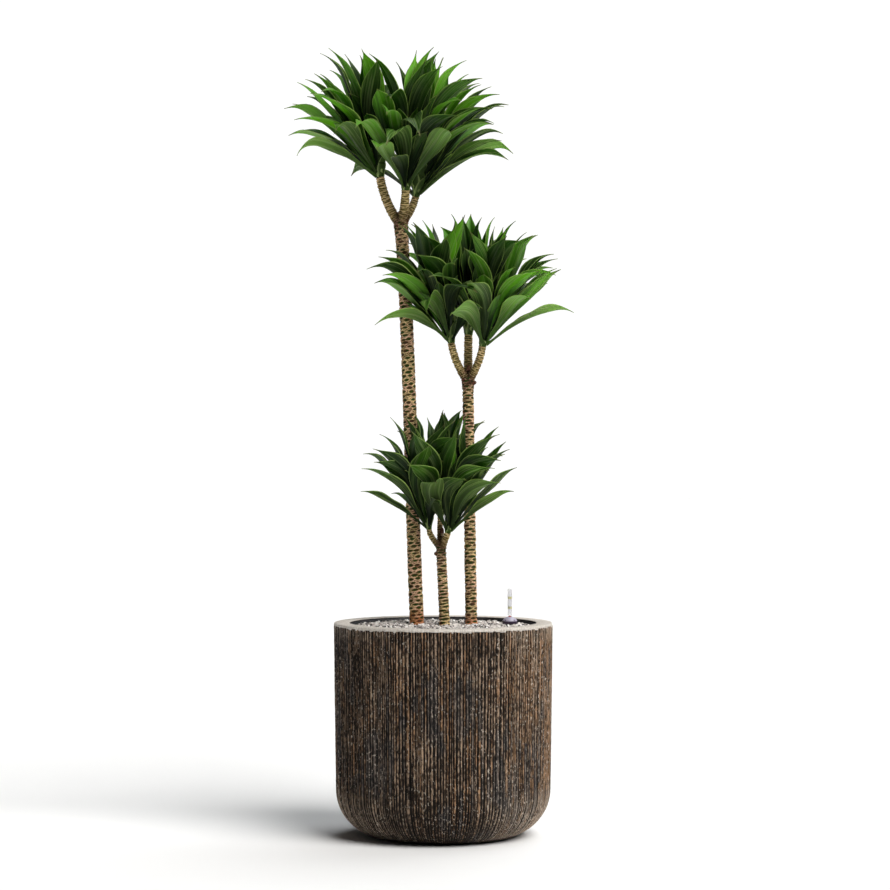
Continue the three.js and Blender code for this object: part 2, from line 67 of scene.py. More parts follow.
camera = linked("camera", bpy.data.cameras.new("camera"))
camera.data.sensor_width = SENSOR
camera.data.lens = FOCAL_PIXELS * SENSOR / PHOTO_SIDE
camera.location = Vector(CAMERA_PLACE) * MM
camera.rotation_euler = (pi / 2, 0, 0)
bpy.context.scene.camera = camera
bpy.context.scene.view_settings.view_transform = "Standard"

FLOOR_RADIUS = 30_000
FLOOR_WHITE = (0.9, 0.9, 0.9, 1)
SURROUND_RADIUS = FLOOR_RADIUS * 0.98
SURROUND_WHITE = 1.05
SKY_WHITE = (0.97, 0.98, 1, 1)
SKY_STRENGTH = 0.03
SQUARE = ((-1, -1), (1, -1), (1, 1), (-1, 1))


def stage_piece(name, points, faces):
    mesh = bpy.data.meshes.new(name)
    mesh.from_pydata([Vector(point) * MM for point in points], [], faces)
    piece = linked(name, mesh)
    return piece


corners = [(FLOOR_RADIUS * x, FLOOR_RADIUS * y, 0) for x, y in SQUARE]
floor = stage_piece("floor", corners, [(0, 1, 2, 3)])
floor_paint = bpy.data.materials.new("floor_paint")
floor_paint.use_nodes = True
floor_shader = floor_paint.node_tree.nodes["Principled BSDF"]
for socket, value in (("Base Color", FLOOR_WHITE), ("Roughness", 0.9), ("Specular IOR Level", 0)):
    floor_shader.inputs[socket].default_value = value
floor.data.materials.append(floor_paint)

levels = (-SURROUND_RADIUS, SURROUND_RADIUS)
corners = [(SURROUND_RADIUS * x, SURROUND_RADIUS * y, z) for z in levels for x, y in SQUARE]
sides = [(0, 1, 5, 4), (1, 2, 6, 5), (2, 3, 7, 6), (3, 0, 4, 7), (4, 5, 6, 7)]
surround = stage_piece("surround", corners, sides)
glow = bpy.data.materials.new("surround_glow")
glow.use_nodes = True
glow.node_tree.nodes.remove(glow.node_tree.nodes["Principled BSDF"])
glow_shader = glow.node_tree.nodes.new("ShaderNodeEmission")
glow_shader.inputs["Strength"].default_value = SURROUND_WHITE
glow_output = glow.node_tree.nodes["Material Output"]
glow.node_tree.links.new(glow_shader.outputs[0], glow_output.inputs["Surface"])
surround.data.materials.append(glow)
surround.visible_diffuse = False
surround.visible_glossy = False
surround.visible_shadow = False

world = bpy.data.worlds.new("studio")
world.use_nodes = True
world.node_tree.nodes["Background"].inputs["Color"].default_value = SKY_WHITE
world.node_tree.nodes["Background"].inputs["Strength"].default_value = SKY_STRENGTH
bpy.context.scene.world = world


def sun(name, power, place, spread, colour):
    """A lamp that shines from a place towards the origin, spread over that many degrees."""
    light = bpy.data.lights.new(name, "SUN")
    light.energy = power
    light.angle = radians(spread)
    light.color = colour
    holder = linked(name, light)
    holder.location = Vector(place) * MM
    holder.rotation_euler = (-Vector(place)).to_track_quat("-Z", "Y").to_euler()


WARM, COOL = (1, 0.985, 0.96), (0.96, 0.985, 1)
sun("key", 3.5, (1414, -1414, 2100), 41, WARM)
sun("back", 1.4, (1100, 1732, 3300), 48, COOL)

# ------------ planter
# A drum of cast stone fibre. Its side copies bark: uneven ribs with deep grooves between them, each
# made of thin strips that are dry-brushed paler on their crests. The flat rim is smooth and pale.

PLANTER_HEIGHT = 380
PLANTER_RADIUS = 195
PLANTER_FOOT_RADIUS = 191
PLANTER_SEED = 11
FOOT_ROUND = 84
FOOT_INNER_RADIUS = 70
MOUTH_RADIUS = 167
RIM_LIP = 4.5
FLOOR_THICKNESS = 16
INSIDE_ROUND = FOOT_ROUND - 18
RIBS = 44
RIB_DEPTH = 3.4
RIB_UNEVENNESS = 1.2
RIB_SHOULDER = 0.13
STRIP_PROUD = 1.6
STRIP_GAP = 2.8
STRIP_STEP = 0.8
STRIP_ACROSS = np.array([0, 0.2, 0.62, 0.8])
STRIP_CREST = np.array([0, 0.6, 1, 0])
STRIP_WAVER = np.array([0, 0.09, 0.11, 0.08])
STRIP_POINTS = len(STRIP_ACROSS)


class Wire:
    """An output socket in a material. Sums on wires add Math nodes, and node() adds any other."""

    def __init__(self, tree, socket=None):
        self.tree = tree
        self.socket = socket

    def node(self, kind, settings=None, inputs=None, output=0):
        made = self.tree.nodes.new("ShaderNode" + kind)
        for name, value in (settings or {}).items():
            if name == "stops":
                first, last = made.color_ramp.elements
                first.position, first.color = value[0]
                last.position, last.color = value[-1]
                for place, colour in value[1:-1]:
                    made.color_ramp.elements.new(place).color = colour
            else:
                setattr(made, name, value)
        for name, value in (inputs or {}).items():
            if isinstance(value, Wire):
                self.tree.links.new(value.socket, made.inputs[name])
            else:
                made.inputs[name].default_value = value
        return Wire(self.tree, made.outputs[output])

    def maths(self, operation, *values):
        return self.node("Math", {"operation": operation}, dict(enumerate(values)))

    def __add__(self, other):
        return self.maths("ADD", self, other)

    __radd__ = __add__

    def __sub__(self, other):
        return self.maths("SUBTRACT", self, other)

    def __rsub__(self, other):
        return self.maths("SUBTRACT", other, self)

    def __mul__(self, other):
        return self.maths("MULTIPLY", self, other)

    __rmul__ = __mul__

    def between(self, low, high):
        """0 where the value is at or under low, 1 at or over high, and smooth in between."""
        settings = {"interpolation_type": "SMOOTHSTEP"}
        return self.node("MapRange", settings, {"Value": self, "From Min": low, "From Max": high})

    def blend(self, under, over):
        """One colour over another, with this value as the mask."""
        return self.node("Mix", {"data_type": "RGBA"}, {0: self, 6: under, 7: over}, output=2)


def mark(paint, name):
    """A number that the mesh holds for each point."""
    return paint.node("Attribute", {"attribute_name": name}, output="Fac")


def place_of(paint, upright=1):
    """The point on the object, with its height scaled by that much."""
    place = paint.node("TexCoord", output="Object")
    return paint.node("VectorMath", {"operation": "MULTIPLY"}, {0: place, 1: (1, 1, upright)})


def noise(paint, scale, detail=3, upright=1, place=None):
    """Noise of 0 to 1 over the object, or over a place that is given."""
    place = place or place_of(paint, upright)
    return paint.node("TexNoise", None, {"Vector": place, "Scale": scale, "Detail": detail})


def material(name, **even):
    """A material, its shader with what is even all over set on it, and a wire to build from."""
    made = bpy.data.materials.new(name)
    made.use_nodes = True
    shader = made.node_tree.nodes["Principled BSDF"]
    for socket, value in even.items():
        shader.inputs[socket.replace("_", " ")].default_value = value
    return made, shader, Wire(made.node_tree)


def drive(shader, socket, wire):
    shader.id_data.links.new(wire.socket, shader.inputs[socket])


def emboss(shader, height, distance):
    """Fine relief from a height of 0 to 1, as a bump of that many metres."""
    bump = height.node("Bump", None, {"Height": height, "Distance": distance}, output="Normal")
    drive(shader, "Normal", bump)


def piece(name, points, faces, paint, marks, slot, node, smooth=True):
    """An object from points in millimetres. marks holds a number for each point, by name."""
    mesh = bpy.data.meshes.new(name)
    mesh.from_pydata(np.asarray(points) * MM, [], faces)
    mesh.polygons.foreach_set("use_smooth", np.full(len(mesh.polygons), smooth))
    for mark_name, values in marks.items():
        layer = mesh.attributes.new(mark_name, "FLOAT", "POINT")
        layer.data.foreach_set("value", np.asarray(values, np.float32))
    mesh.materials.append(paint)
    made = linked(name, mesh)
    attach(made, "root")
    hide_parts(node)
    return made


def closed_faces(rows, columns, start=0):
    """Faces between rings of points, one ring after the other, and over the first and last ring."""
    row, column = np.meshgrid(np.arange(rows - 1), np.arange(columns), indexing="ij")
    following = (column + 1) % columns
    near = start + row * columns
    far = near + columns
    quads = np.stack([near + column, near + following, far + following, far + column], -1)
    last = start + (rows - 1) * columns
    ends = [list(range(start + columns - 1, start - 1, -1)), list(range(last, last + columns))]
    return quads.reshape(-1, 4).tolist() + ends


def rounded_corner(radius, height, turn, steps):
    """Quarter round from a floor at that height up to a wall of that radius, as (radius, height)."""
    angles = np.linspace(0, pi / 2, steps + 1)
    return [(radius - turn + turn * sin(a), height + turn - turn * cos(a)) for a in angles]


def along(knots, share):
    """Smooth values between evenly spaced knots, one row of knots for each item."""
    place = np.clip(share, 0, 1) * (knots.shape[1] - 1)
    low = np.minimum(place.astype(int), knots.shape[1] - 2)
    ease = place - low
    ease = ease * ease * (3 - 2 * ease)
    return knots[:, low] * (1 - ease) + knots[:, low + 1] * ease


def draw(number, quality):
    """A repeatable draw from 0 to 1 for a numbered thing and one of its qualities."""
    value = np.sin(number * 12.9898 + quality * 78.233) * 43758.5453
    return value - np.floor(value)


def mix(a, b, share):
    return a + (b - a) * share


def rib_start(rib):
    """The share of a turn at which the groove before a rib lies."""
    return (rib + 0.5 * draw(rib % RIBS, 1)) / RIBS


def rib_depth(rib, share):
    """How far the side lies under its full radius, at shares of a rib's width."""
    grooves = [RIB_DEPTH * mix(0.6, 1, draw(k % RIBS, 2)) for k in (rib, rib + 1)]
    top = RIB_UNEVENNESS * draw(rib, 3)
    return np.interp(share, [0, RIB_SHOULDER, 1 - RIB_SHOULDER, 1], [grooves[0], top, top, grooves[1]])


def stretches(rng, strips, shares, shortest, longest):
    """A level from 0 to 1 for each strip that changes at once, at the ends of its stretches."""
    levels = np.zeros((strips, len(shares)))
    for strip in levels:
        start = -rng.random() * longest
        while start < 1:
            end = start + rng.uniform(shortest, longest)
            strip[(shares >= start) & (shares < end)] = rng.random()
            start = end
    return levels


def planter_profile():
    """The drum's outline as (radius, height), and how many of its points reach up to the rim.

    It runs out over the base, up the side, over the rim, down inside and in to the floor.
    """
    rib_top = PLANTER_HEIGHT - RIM_LIP
    lip = PLANTER_RADIUS - 0.1
    foot = rounded_corner(PLANTER_FOOT_RADIUS, 0, FOOT_ROUND, 18)
    heights = [*np.linspace(FOOT_ROUND, rib_top - 3, 64)[1:], rib_top - 1.4, rib_top - 0.6, rib_top]
    slope = (PLANTER_RADIUS - PLANTER_FOOT_RADIUS) / (rib_top - FOOT_ROUND)
    side = [(PLANTER_FOOT_RADIUS + slope * (height - FOOT_ROUND), height) for height in heights]
    rim = [(lip, rib_top + 0.5), (lip, PLANTER_HEIGHT - 1.2), (lip - 0.5, PLANTER_HEIGHT - 0.3)]
    rim += [(lip - 1.4, PLANTER_HEIGHT), (MOUTH_RADIUS + 1.2, PLANTER_HEIGHT)]
    rim += [(MOUTH_RADIUS + 0.3, PLANTER_HEIGHT - 0.4), (MOUTH_RADIUS, PLANTER_HEIGHT - 1.4)]
    inside = rounded_corner(MOUTH_RADIUS, FLOOR_THICKNESS, INSIDE_ROUND, 5)[::-1]
    return np.array([(FOOT_INNER_RADIUS, 0), *foot, *side, *rim, *inside]), len(foot) + len(side)


def strip_points(rng):
    """For the points of all strips: share of a turn, groove, whether it's open, and breadth."""
    turns, grooves, opens, breadths = [], [], [], []
    for rib in range(RIBS):
        widths = rng.uniform(0.5, 1.6, 5 + rib % 2)
        edges = np.concatenate([[0], np.cumsum(widths) / widths.sum()])
        share = (edges[:-1, None] + np.diff(edges)[:, None] * STRIP_ACROSS).ravel()
        turns.append(mix(rib_start(rib), rib_start(rib + 1), share))
        grooves.append(rib_depth(rib, share))
        opens.append(share > 0)
        breadths.append((np.diff(edges) * (rib_start(rib + 1) - rib_start(rib))).repeat(STRIP_POINTS))
    return map(np.concatenate, (turns, grooves, opens, breadths))


def planter():
    rng = np.random.default_rng(PLANTER_SEED)
    profile, ribbed = planter_profile()
    turns, grooves, opens, breadths = strip_points(rng)
    strips, columns = len(turns) // STRIP_POINTS, len(turns)
    shares = np.linspace(0, 1, len(profile))
    lift = stretches(rng, strips, shares, 0.03, 0.25).repeat(STRIP_POINTS, 0)
    gape = mix(0.25, 1, stretches(rng, strips, shares, 0.03, 0.25) ** 0.6).repeat(STRIP_POINTS, 0)
    tone = stretches(rng, strips, shares, 0.02, 0.13) + along(rng.random((strips, 30)), shares)
    hue = stretches(rng, strips, shares, 0.06, 0.35)
    sunk = (1 - np.tile(STRIP_CREST, strips)[:, None]) * gape
    fine = sunk * STRIP_GAP * opens[:, None] + (1 - lift) * STRIP_STEP
    fine += rng.uniform(0, 0.3, fine.shape)
    crest = np.where(opens[:, None], 1 - sunk, 0)

    waver = along(rng.uniform(-1, 1, (columns, 36)), shares).T * np.tile(STRIP_WAVER, strips)
    waver *= breadths
    waver[ribbed + 1 :] = 0
    angle = 2 * pi * (turns + waver)
    radius, level = profile[:, :1], profile[:, 1:]
    depth = grooves * np.minimum(1, level / FOOT_ROUND)
    depth = depth + (fine.T - STRIP_PROUD) * np.minimum(1, level / 10)
    depth[ribbed + 1 :] = 0
    radius = radius - depth
    points = np.stack([radius * np.cos(angle), radius * np.sin(angle), 0 * angle + level], -1)
    faces = closed_faces(len(profile), columns)

    bark = np.zeros((len(profile), columns))
    bark[: ribbed - 2] = 1
    ragged = rng.random(strips).repeat(STRIP_POINTS)
    for row, share in ((ribbed - 2, 0.8), (ribbed - 1, 0.55), (ribbed, 0.3)):
        bark[row] = ragged < share
    # How far the side faces right, towards the key lamp.
    facing_right = np.cos(angle)
    # Pale wear at the foot and under the rim, on the left and right sides only; at the foot's corners
    # it also paints a highlight.
    wear_and_highlight_band = np.interp(level, [0, 10, 55, 100, 345, 374], [0, 1, 0.8, 0, 0, 0.5])
    # Painted shade: darker towards the foot, most at the front and back.
    foot_shade = np.interp(level, [0, 60, 120], [0.75, 0.55, 0]) * (1 - facing_right**2)
    marks = {
        "bark": bark,
        "crest": crest.T,
        # Tone: random strip tone, made lighter on the right as painted light and darker at the foot as
        # painted shade.
        "tone": tone.repeat(STRIP_POINTS, 0).T / 2 + 0.1 * facing_right - foot_shade,
        # Hue: random, shifted warmer on the right and greyer on the left as painted light and shade.
        "hue": hue.repeat(STRIP_POINTS, 0).T - 0.16 * facing_right,
        "worn": wear_and_highlight_band * facing_right**2,
        # The points inside the mouth, under the rim, for painted shade.
        "mouth": (np.arange(len(profile))[:, None] > ribbed + 6) * np.ones(columns),
    }
    return points.reshape(-1, 3), faces, {name: values.ravel() for name, values in marks.items()}


def planter_finish():
    made, shader, paint = material("stone_fibre", Roughness=0.85, Specular_IOR_Level=0.2)
    crest, tone, bark = mark(paint, "crest"), mark(paint, "tone"), mark(paint, "bark")
    hue, worn, mouth = mark(paint, "hue"), mark(paint, "worn"), mark(paint, "mouth")
    streak = noise(paint, 460, 3, 0.07).between(0.32, 0.68)
    grit = noise(paint, 400, 2, 0.35).between(0.36, 0.64)
    patch = noise(paint, 9, 2, 0.7).between(0.4, 0.62)
    fleck = noise(paint, 330, 1, 0.6)
    cloud = noise(paint, 22, 2, 0.35).between(0.35, 0.65)
    groove_shade, umber = (0.0015, 0.001, 0.0006, 1), (0.013, 0.008, 0.005, 1)
    tan = hue.between(0.1, 0.5).blend((0.38, 0.22, 0.12, 1), (0.4, 0.28, 0.19, 1))
    # The crests, slate ones too, are dry-brushed paler and lightest at their tops, which also paints a
    # highlight on them.
    edge = crest.between(0.62, 1)
    dusted = (tone * 0.55 + streak * 0.3 + grit * 0.55 + cloud * 0.1) * (edge * 0.65 + 0.35)
    strip = dusted.between(0.2, 1.2).blend(umber, tan)
    slate = (grit * edge).blend((0.022, 0.022, 0.023, 1), (0.11, 0.11, 0.112, 1))
    strip = ((hue + patch).between(1.15, 1.6) * 0.65).blend(strip, slate)
    # Pale wear, which is also a painted highlight on the foot's left and right corners.
    strip = (worn * (edge + 0.1) * (streak * 1.3 + tone * 0.4)).blend(strip, (0.56, 0.45, 0.35, 1))
    strip = (fleck.between(0.63, 0.69) * (cloud * 0.6 + 0.25)).blend(strip, (0.55, 0.48, 0.4, 1))
    # The sunk gaps between strips are painted near black: painted shade in the grooves.
    side = (crest * 1.5 + grit * 0.3 - 0.5).between(0.05, 0.6).blend(groove_shade, strip)
    rim = grit.blend((0.58, 0.525, 0.465, 1), (0.72, 0.675, 0.62, 1))
    # Painted shade: the inside wall under the rim is painted near black.
    rim = mouth.blend(rim, (0.02, 0.018, 0.017, 1))
    drive(shader, "Base Color", bark.between(0.35, 0.65).blend(rim, side))
    emboss(shader, grit * 0.6 + streak * 0.4, 0.0013)
    return made


points, faces, marks = planter()
piece("planter_drum", points, faces, planter_finish(), marks, "planter", "planter")

# ------------ liner
# A thin black plastic tub, moulded in one piece. It keeps the water in, hangs a few millimetres
# under the rim, and shows as a dark edge round the gravel.

SEAT_GAP = 0.3
LINER_RADIUS = MOUTH_RADIUS - 0.8
LINER_WALL = 2.5
LINER_DROP = 3
LINER_FLOOR = FLOOR_THICKNESS + SEAT_GAP
LINER_ROUND = FOOT_ROUND - 16
LINER_COLUMNS = 128


def bearings(columns):
    return np.linspace(0, 2 * pi, columns, endpoint=False)


def turned(profile, columns):
    """A profile of (radius, height) turned round the upright axis, closed flat at both ends."""
    profile = np.array(profile)
    angle = bearings(columns)
    points = np.zeros((len(profile), columns, 3))
    points[..., 0] = profile[:, :1] * np.cos(angle)
    points[..., 1] = profile[:, :1] * np.sin(angle)
    points[..., 2] = profile[:, 1:]
    return points.reshape(-1, 3), closed_faces(len(profile), columns)


def liner():
    inner = LINER_RADIUS - LINER_WALL
    edge = PLANTER_HEIGHT - LINER_DROP
    outside = rounded_corner(LINER_RADIUS, LINER_FLOOR, LINER_ROUND, 8)
    lip = [(LINER_RADIUS, edge - 0.8), (LINER_RADIUS - 0.8, edge)]
    lip += [(inner + 0.8, edge), (inner, edge - 0.8)]
    inside = rounded_corner(inner, LINER_FLOOR + LINER_WALL, LINER_ROUND - LINER_WALL, 8)[::-1]
    return turned([*outside, *lip, *inside], LINER_COLUMNS)


def liner_finish():
    made, shader, paint = material("black_plastic", Roughness=0.5)
    scuff = noise(paint, 160, 3, 3)
    black = scuff.between(0.4, 0.7).blend((0.006, 0.006, 0.007, 1), (0.02, 0.02, 0.021, 1))
    drive(shader, "Base Color", black)
    emboss(shader, scuff, 0.0002)
    return made


piece("liner_tub", *liner(), liner_finish(), {}, "liner", "liner")

# ------------ substrate
# Expanded clay granules that fill the liner under the gravel, round the canes' roots. The packed
# solid stands for them, with the granules in its colour and relief.


def speckled(paint, scale, dark, light):
    """A colour that varies finely between two others."""
    return noise(paint, scale).between(0.3, 0.7).blend(dark, light)


def granule_finish():
    made, shader, paint = material("clay_granules", Roughness=0.95)
    inputs = {"Vector": place_of(paint), "Scale": 95}
    cells = paint.node("TexVoronoi", None, inputs, output="Distance")
    clay = speckled(paint, 300, (0.13, 0.055, 0.03, 1), (0.25, 0.13, 0.08, 1))
    # Dark at the cells' borders: painted shade in the crevices between the granules.
    drive(shader, "Base Color", cells.between(0.35, 0.62).blend(clay, (0.02, 0.01, 0.007, 1)))
    emboss(shader, 1 - cells, 0.004)
    return made


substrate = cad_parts["substrate"]
substrate.data.materials.clear()
substrate.data.materials.append(granule_finish())

# ------------ gravel
# Washed gravel of 4 to 7 mm, poured on the granules and levelled by hand: white, grey and pinkish
# beige stones with a few dark ones. A bed closes the gaps between them.

SUBSTRATE_TOP = 356
GRAVEL_TOP = 373
GRAVEL_SEED = 5
FILL_RADIUS = LINER_RADIUS - LINER_WALL - 0.8
BED_RADII = (FILL_RADIUS * 0.1, FILL_RADIUS - 0.3)
BED_TOP = GRAVEL_TOP - 3.5
BED_COLUMNS = 96
STONE_PITCH = 5.6
STONE_RADII = (2.1, 3.7)
LAYERS_SUNK = (3, 0.4)
GOLD = (1 + sqrt(5)) / 2
CANE_FEET = [(-47, 36, 12.6), (51, 36, 10.6), (3, 20, 9.4)]
GAUGE_PLACE = (120, 16)
GAUGE_COLLAR_RADIUS = 13.5


def hull_faces(corners):
    """The triangles round a convex set of evenly spaced corners, facing out."""
    near = norm(corners[0] - corners[1:], axis=1).min() * 1.01
    found = []
    for a, b, c in itertools.combinations(range(len(corners)), 3):
        sides = [norm(corners[p] - corners[q]) for p, q in ((a, b), (b, c), (a, c))]
        if max(sides) > near:
            continue
        normal = np.cross(corners[b] - corners[a], corners[c] - corners[a])
        found.append((a, b, c) if np.dot(normal, corners[a]) > 0 else (a, c, b))
    return np.array(found)


def gravel():
    rng = np.random.default_rng(GRAVEL_SEED)
    signs = [(a, b) for a in (-1, 1) for b in (-1, 1)]
    ball = np.array([np.roll((0, a, b * GOLD), -axis) for axis in range(3) for a, b in signs])
    ball /= norm(ball[0])
    ball_faces = hull_faces(ball)
    bottom = [(radius, SUBSTRATE_TOP + SEAT_GAP) for radius in BED_RADII]
    top = [(radius, BED_TOP) for radius in BED_RADII[::-1]]
    points, faces = turned(bottom + top, BED_COLUMNS)
    # The bed gets mark 0, the darkest stone colour: painted shade in the gaps between the stones.
    points, marks, count = [points], [np.full(len(points), 0.0)], len(points)
    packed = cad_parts["gravel"].data
    bed = BVHTree.FromPolygons([v.co for v in packed.vertices], [p.vertices for p in packed.polygons])
    steps = range(int(2 * FILL_RADIUS / STONE_PITCH))
    for layer, i, j in itertools.product(range(len(LAYERS_SUNK)), steps, steps):
        cell = np.array([i, j]) + 0.5 * layer + rng.uniform(-0.42, 0.42, 2)
        x, y = cell * STONE_PITCH - FILL_RADIUS
        size = rng.uniform(*STONE_RADII)
        if hypot(x, y) > FILL_RADIUS - size:
            continue
        if any(hypot(x - cx, y - cy) < r + 0.4 * size for cx, cy, r in CANE_FEET):
            continue
        if hypot(x - GAUGE_PLACE[0], y - GAUGE_PLACE[1]) < GAUGE_COLLAR_RADIUS * 0.8:
            continue
        axes = np.linalg.qr(rng.normal(size=(3, 3)))[0] * (rng.uniform(0.7, 1.2, 3) * size)
        stone = (ball * rng.uniform(0.8, 1.1, (len(ball), 1))) @ axes.T
        hit = bed.ray_cast(Vector((x, y, PLANTER_HEIGHT)) * MM, Vector((0, 0, -1)))[0]
        level = GRAVEL_TOP if hit is None else hit.z / MM
        points.append(stone + (x, y, level - LAYERS_SUNK[layer] + rng.uniform(-0.8, 0.8)))
        faces.extend((ball_faces + count).tolist())
        marks.append(np.full(len(ball), rng.random()))
        count += len(ball)
    return np.concatenate(points), faces, {"stone": np.concatenate(marks)}


def gravel_finish():
    made, shader, paint = material("washed_gravel", Roughness=0.72)
    stone = mark(paint, "stone")
    stops = [
        (0.0, (0.03, 0.028, 0.026, 1)),
        (0.14, (0.1, 0.09, 0.084, 1)),
        (0.3, (0.38, 0.33, 0.3, 1)),
        (0.5, (0.62, 0.58, 0.55, 1)),
        (0.75, (0.82, 0.76, 0.71, 1)),
        (1.0, (0.96, 0.95, 0.93, 1)),
    ]
    colour = stone.node("ValToRGB", {"stops": stops}, {"Fac": stone})
    vein = noise(paint, 900)
    drive(shader, "Base Color", (vein.between(0.55, 0.75) * 0.4).blend(colour, (0.25, 0.22, 0.2, 1)))
    emboss(shader, vein, 0.0004)
    return made


points, faces, marks = gravel()
piece("gravel_stones", points, faces, gravel_finish(), marks, "gravel", "gravel", smooth=False)

# ------------ canes
# Each cane grew as one piece with its fork and three branches. Its corky bark keeps the scars of
# fallen leaves: tan ridges round green, lens-shaped patches, half a step out from row to row.

CANE_SEED = 20
CANE_BURIED = 150
# A plant has its cane's path from the gravel to the fork, and the cane's radius at both ends. A
# crown's bearing is that of its lowest leaf, and lowest is how far that leaf leans out, in degrees. A
# shoot's root is where its leaves begin, and its lean is for each millimetre up.
Plant = namedtuple("Plant", "path radius crown shoots")
Crown = namedtuple("Crown", "number length width bearing lowest")
Shoot = namedtuple("Shoot", "root lean length branch")
PLANTS = {
    "tall": Plant(
        [(-47, 36, GRAVEL_TOP), (-57, 36, 600), (-60, 36, 880), (-76, 36, 1100)],
        (12.6, 11.4),
        Crown(84, 208, 38, 200, 64),
        {
            "left": Shoot((-113, 30, 1179), (-0.16, -0.02), 64, 7.8),
            "front": Shoot((-67, 14, 1154), (0.04, -0.14), 96, 7.4),
            "right": Shoot((-50, 60, 1146), (0.2, 0.14), 96, 6.6),
        },
    ),
    "middle": Plant(
        [(51, 36, GRAVEL_TOP), (49, 36, 520), (46, 36, 690), (45, 36, 818)],
        (10.6, 9.8),
        Crown(78, 187, 38, 215, 57),
        {
            "left": Shoot((15, 22, 881), (-0.14, -0.1), 78, 6.6),
            "back": Shoot((46, 60, 896), (0.02, 0.16), 78, 7.4),
            "right": Shoot((71, 20, 874), (0.16, -0.1), 78, 6.6),
        },
    ),
    "short": Plant(
        [(3, 20, GRAVEL_TOP), (1, 20, 425), (-2, 20, 475), (-4, 20, 518)],
        (9.4, 8.6),
        Crown(58, 168, 36, 197, 53),
        {
            "left": Shoot((-25, 10, 546), (-0.1, -0.16), 74, 4.8),
            "front": Shoot((8, 0, 540), (0.26, -0.18), 74, 5.6),
            "back": Shoot((-5, 42, 566), (0.04, 0.16), 66, 5),
        },
    ),
}

RING_STEP = 0.9
TRUNK_COLUMNS = 48
BRANCH_COLUMNS = 32
# Each kind of bark: the run from row to row, the patches in a row, and the largest half width of a
# patch as a share of its place in the row.
SCARS = {
    "tall": (6.6, 5, 0.48),
    "middle": (6, 4, 0.54),
    "short": (5.2, 3, 0.62),
    "branch": (3.8, 3, 0.66),
}
LENS_HALF = 0.33
LID_STEP = 1.35
RED_FOOT = {"tall": 36, "middle": 20, "short": 1}
STUBS = {
    "tall": [((0.9, -0.5, 0.6), -6, 6), ((-0.5, -0.8, 0.5), -14, 5), ((-0.1, -0.9, 0.8), 6, 6)],
    "middle": [((0.1, -0.9, 0.9), 8, 9), ((0.9, -0.4, 0.4), -14, 9), ((-0.8, -0.6, 0.3), -6, 6)],
    "short": [((0.9, -0.4, 0.7), 4, 9), ((-0.9, -0.3, 0.2), -18, 6), ((0.2, 0.3, 1), 14, 10)],
}


def unit(vector):
    return vector / norm(vector)


def bezier(points, share):
    """Points on a cubic Bezier curve, and the unit direction along it, at shares of its run."""
    a, b, c, d = np.asarray(points, float)
    t = np.asarray(share, float)[..., None]
    s = 1 - t
    place = s**3 * a + 3 * s * s * t * b + 3 * s * t * t * c + t**3 * d
    heading = s * s * (b - a) + 2 * s * t * (c - b) + t * t * (d - c)
    return place, heading / norm(heading, axis=-1, keepdims=True)


def shoot_axis(shoot):
    return unit(np.array([*shoot.lean, 1.0]))


def branch_curve(plant, shoot):
    """The branch that carries a shoot, from inside the fork to where the leaves begin."""
    fork, root = np.array(plant.path[3], float), np.array(shoot.root, float)
    reach = norm(root - fork)
    start = fork - (0, 0, 8)
    outward = unit((root - fork) * (1, 1, 0))
    first = start + outward * reach * 0.22 + (0, 0, reach * 0.3)
    return [start, first, root - shoot_axis(shoot) * reach * 0.4, root]


def bark_tube(curve, radius_at, columns, rng, kind):
    """A barked tube along a curve: its points, and how far each is in a lens or on a ridge."""
    place, _ = bezier(curve, np.linspace(0, 1, 60))
    run = norm(np.diff(place, axis=0), axis=1).sum()
    rings = int(run / RING_STEP)
    share = np.linspace(0, 1, rings + 1)
    centre, heading = bezier(curve, share)
    u = (1, 0, 0) - heading * heading[:, :1]
    u /= norm(u, axis=1, keepdims=True)
    v = np.cross(heading, u)
    angle = bearings(columns)
    lens, ridge = scars(share * run, angle, rng, *SCARS[kind])
    radius = radius_at(share)[:, None] + ridge - lens * 0.5 - 0.3 + rng.normal(0, 0.12, lens.shape)
    points = centre[:, None] + radius[..., None] * (
        np.cos(angle)[None, :, None] * u[:, None] + np.sin(angle)[None, :, None] * v[:, None]
    )
    return points, lens, ridge


def scars(run, angle, rng, pitch, round_cane, widest):
    """How deep each point lies in a green lens, and how high on the corky lids round it, 0 to 1."""
    rows = int(run[-1] / pitch) + 4
    shift = rng.uniform(-0.2, 0.2, (rows, round_cane, 2))
    tall = LENS_HALF * pitch * rng.uniform(0.75, 1.2, (rows, round_cane))
    wide = widest * rng.uniform(0.6, 1, (rows, round_cane))
    turn = angle / (2 * pi) * round_cane + rng.random()
    lean = 0.17 * pitch * np.sin(angle + 6 * rng.random())[None]
    depth = np.full((len(run), len(angle)), -9.0)
    for row, k in itertools.product(range(rows), range(round_cane)):
        across = turn - (k + 0.5 * (row % 2) + shift[row, k, 0])
        across = (across + round_cane / 2) % round_cane - round_cane / 2
        rise = np.abs(run[:, None] + lean - (row - 1 + shift[row, k, 1]) * pitch) / tall[row, k]
        depth = np.maximum(depth, 1 - rise - ((across / wide[row, k]) ** 2)[None])
    depth += rng.normal(0, 0.08, depth.shape)
    lids = 0.5 - 0.5 * np.cos(2 * pi * depth / LID_STEP)
    return np.clip(depth * 2.4, 0, 1), np.where(depth < 0, lids, 0)


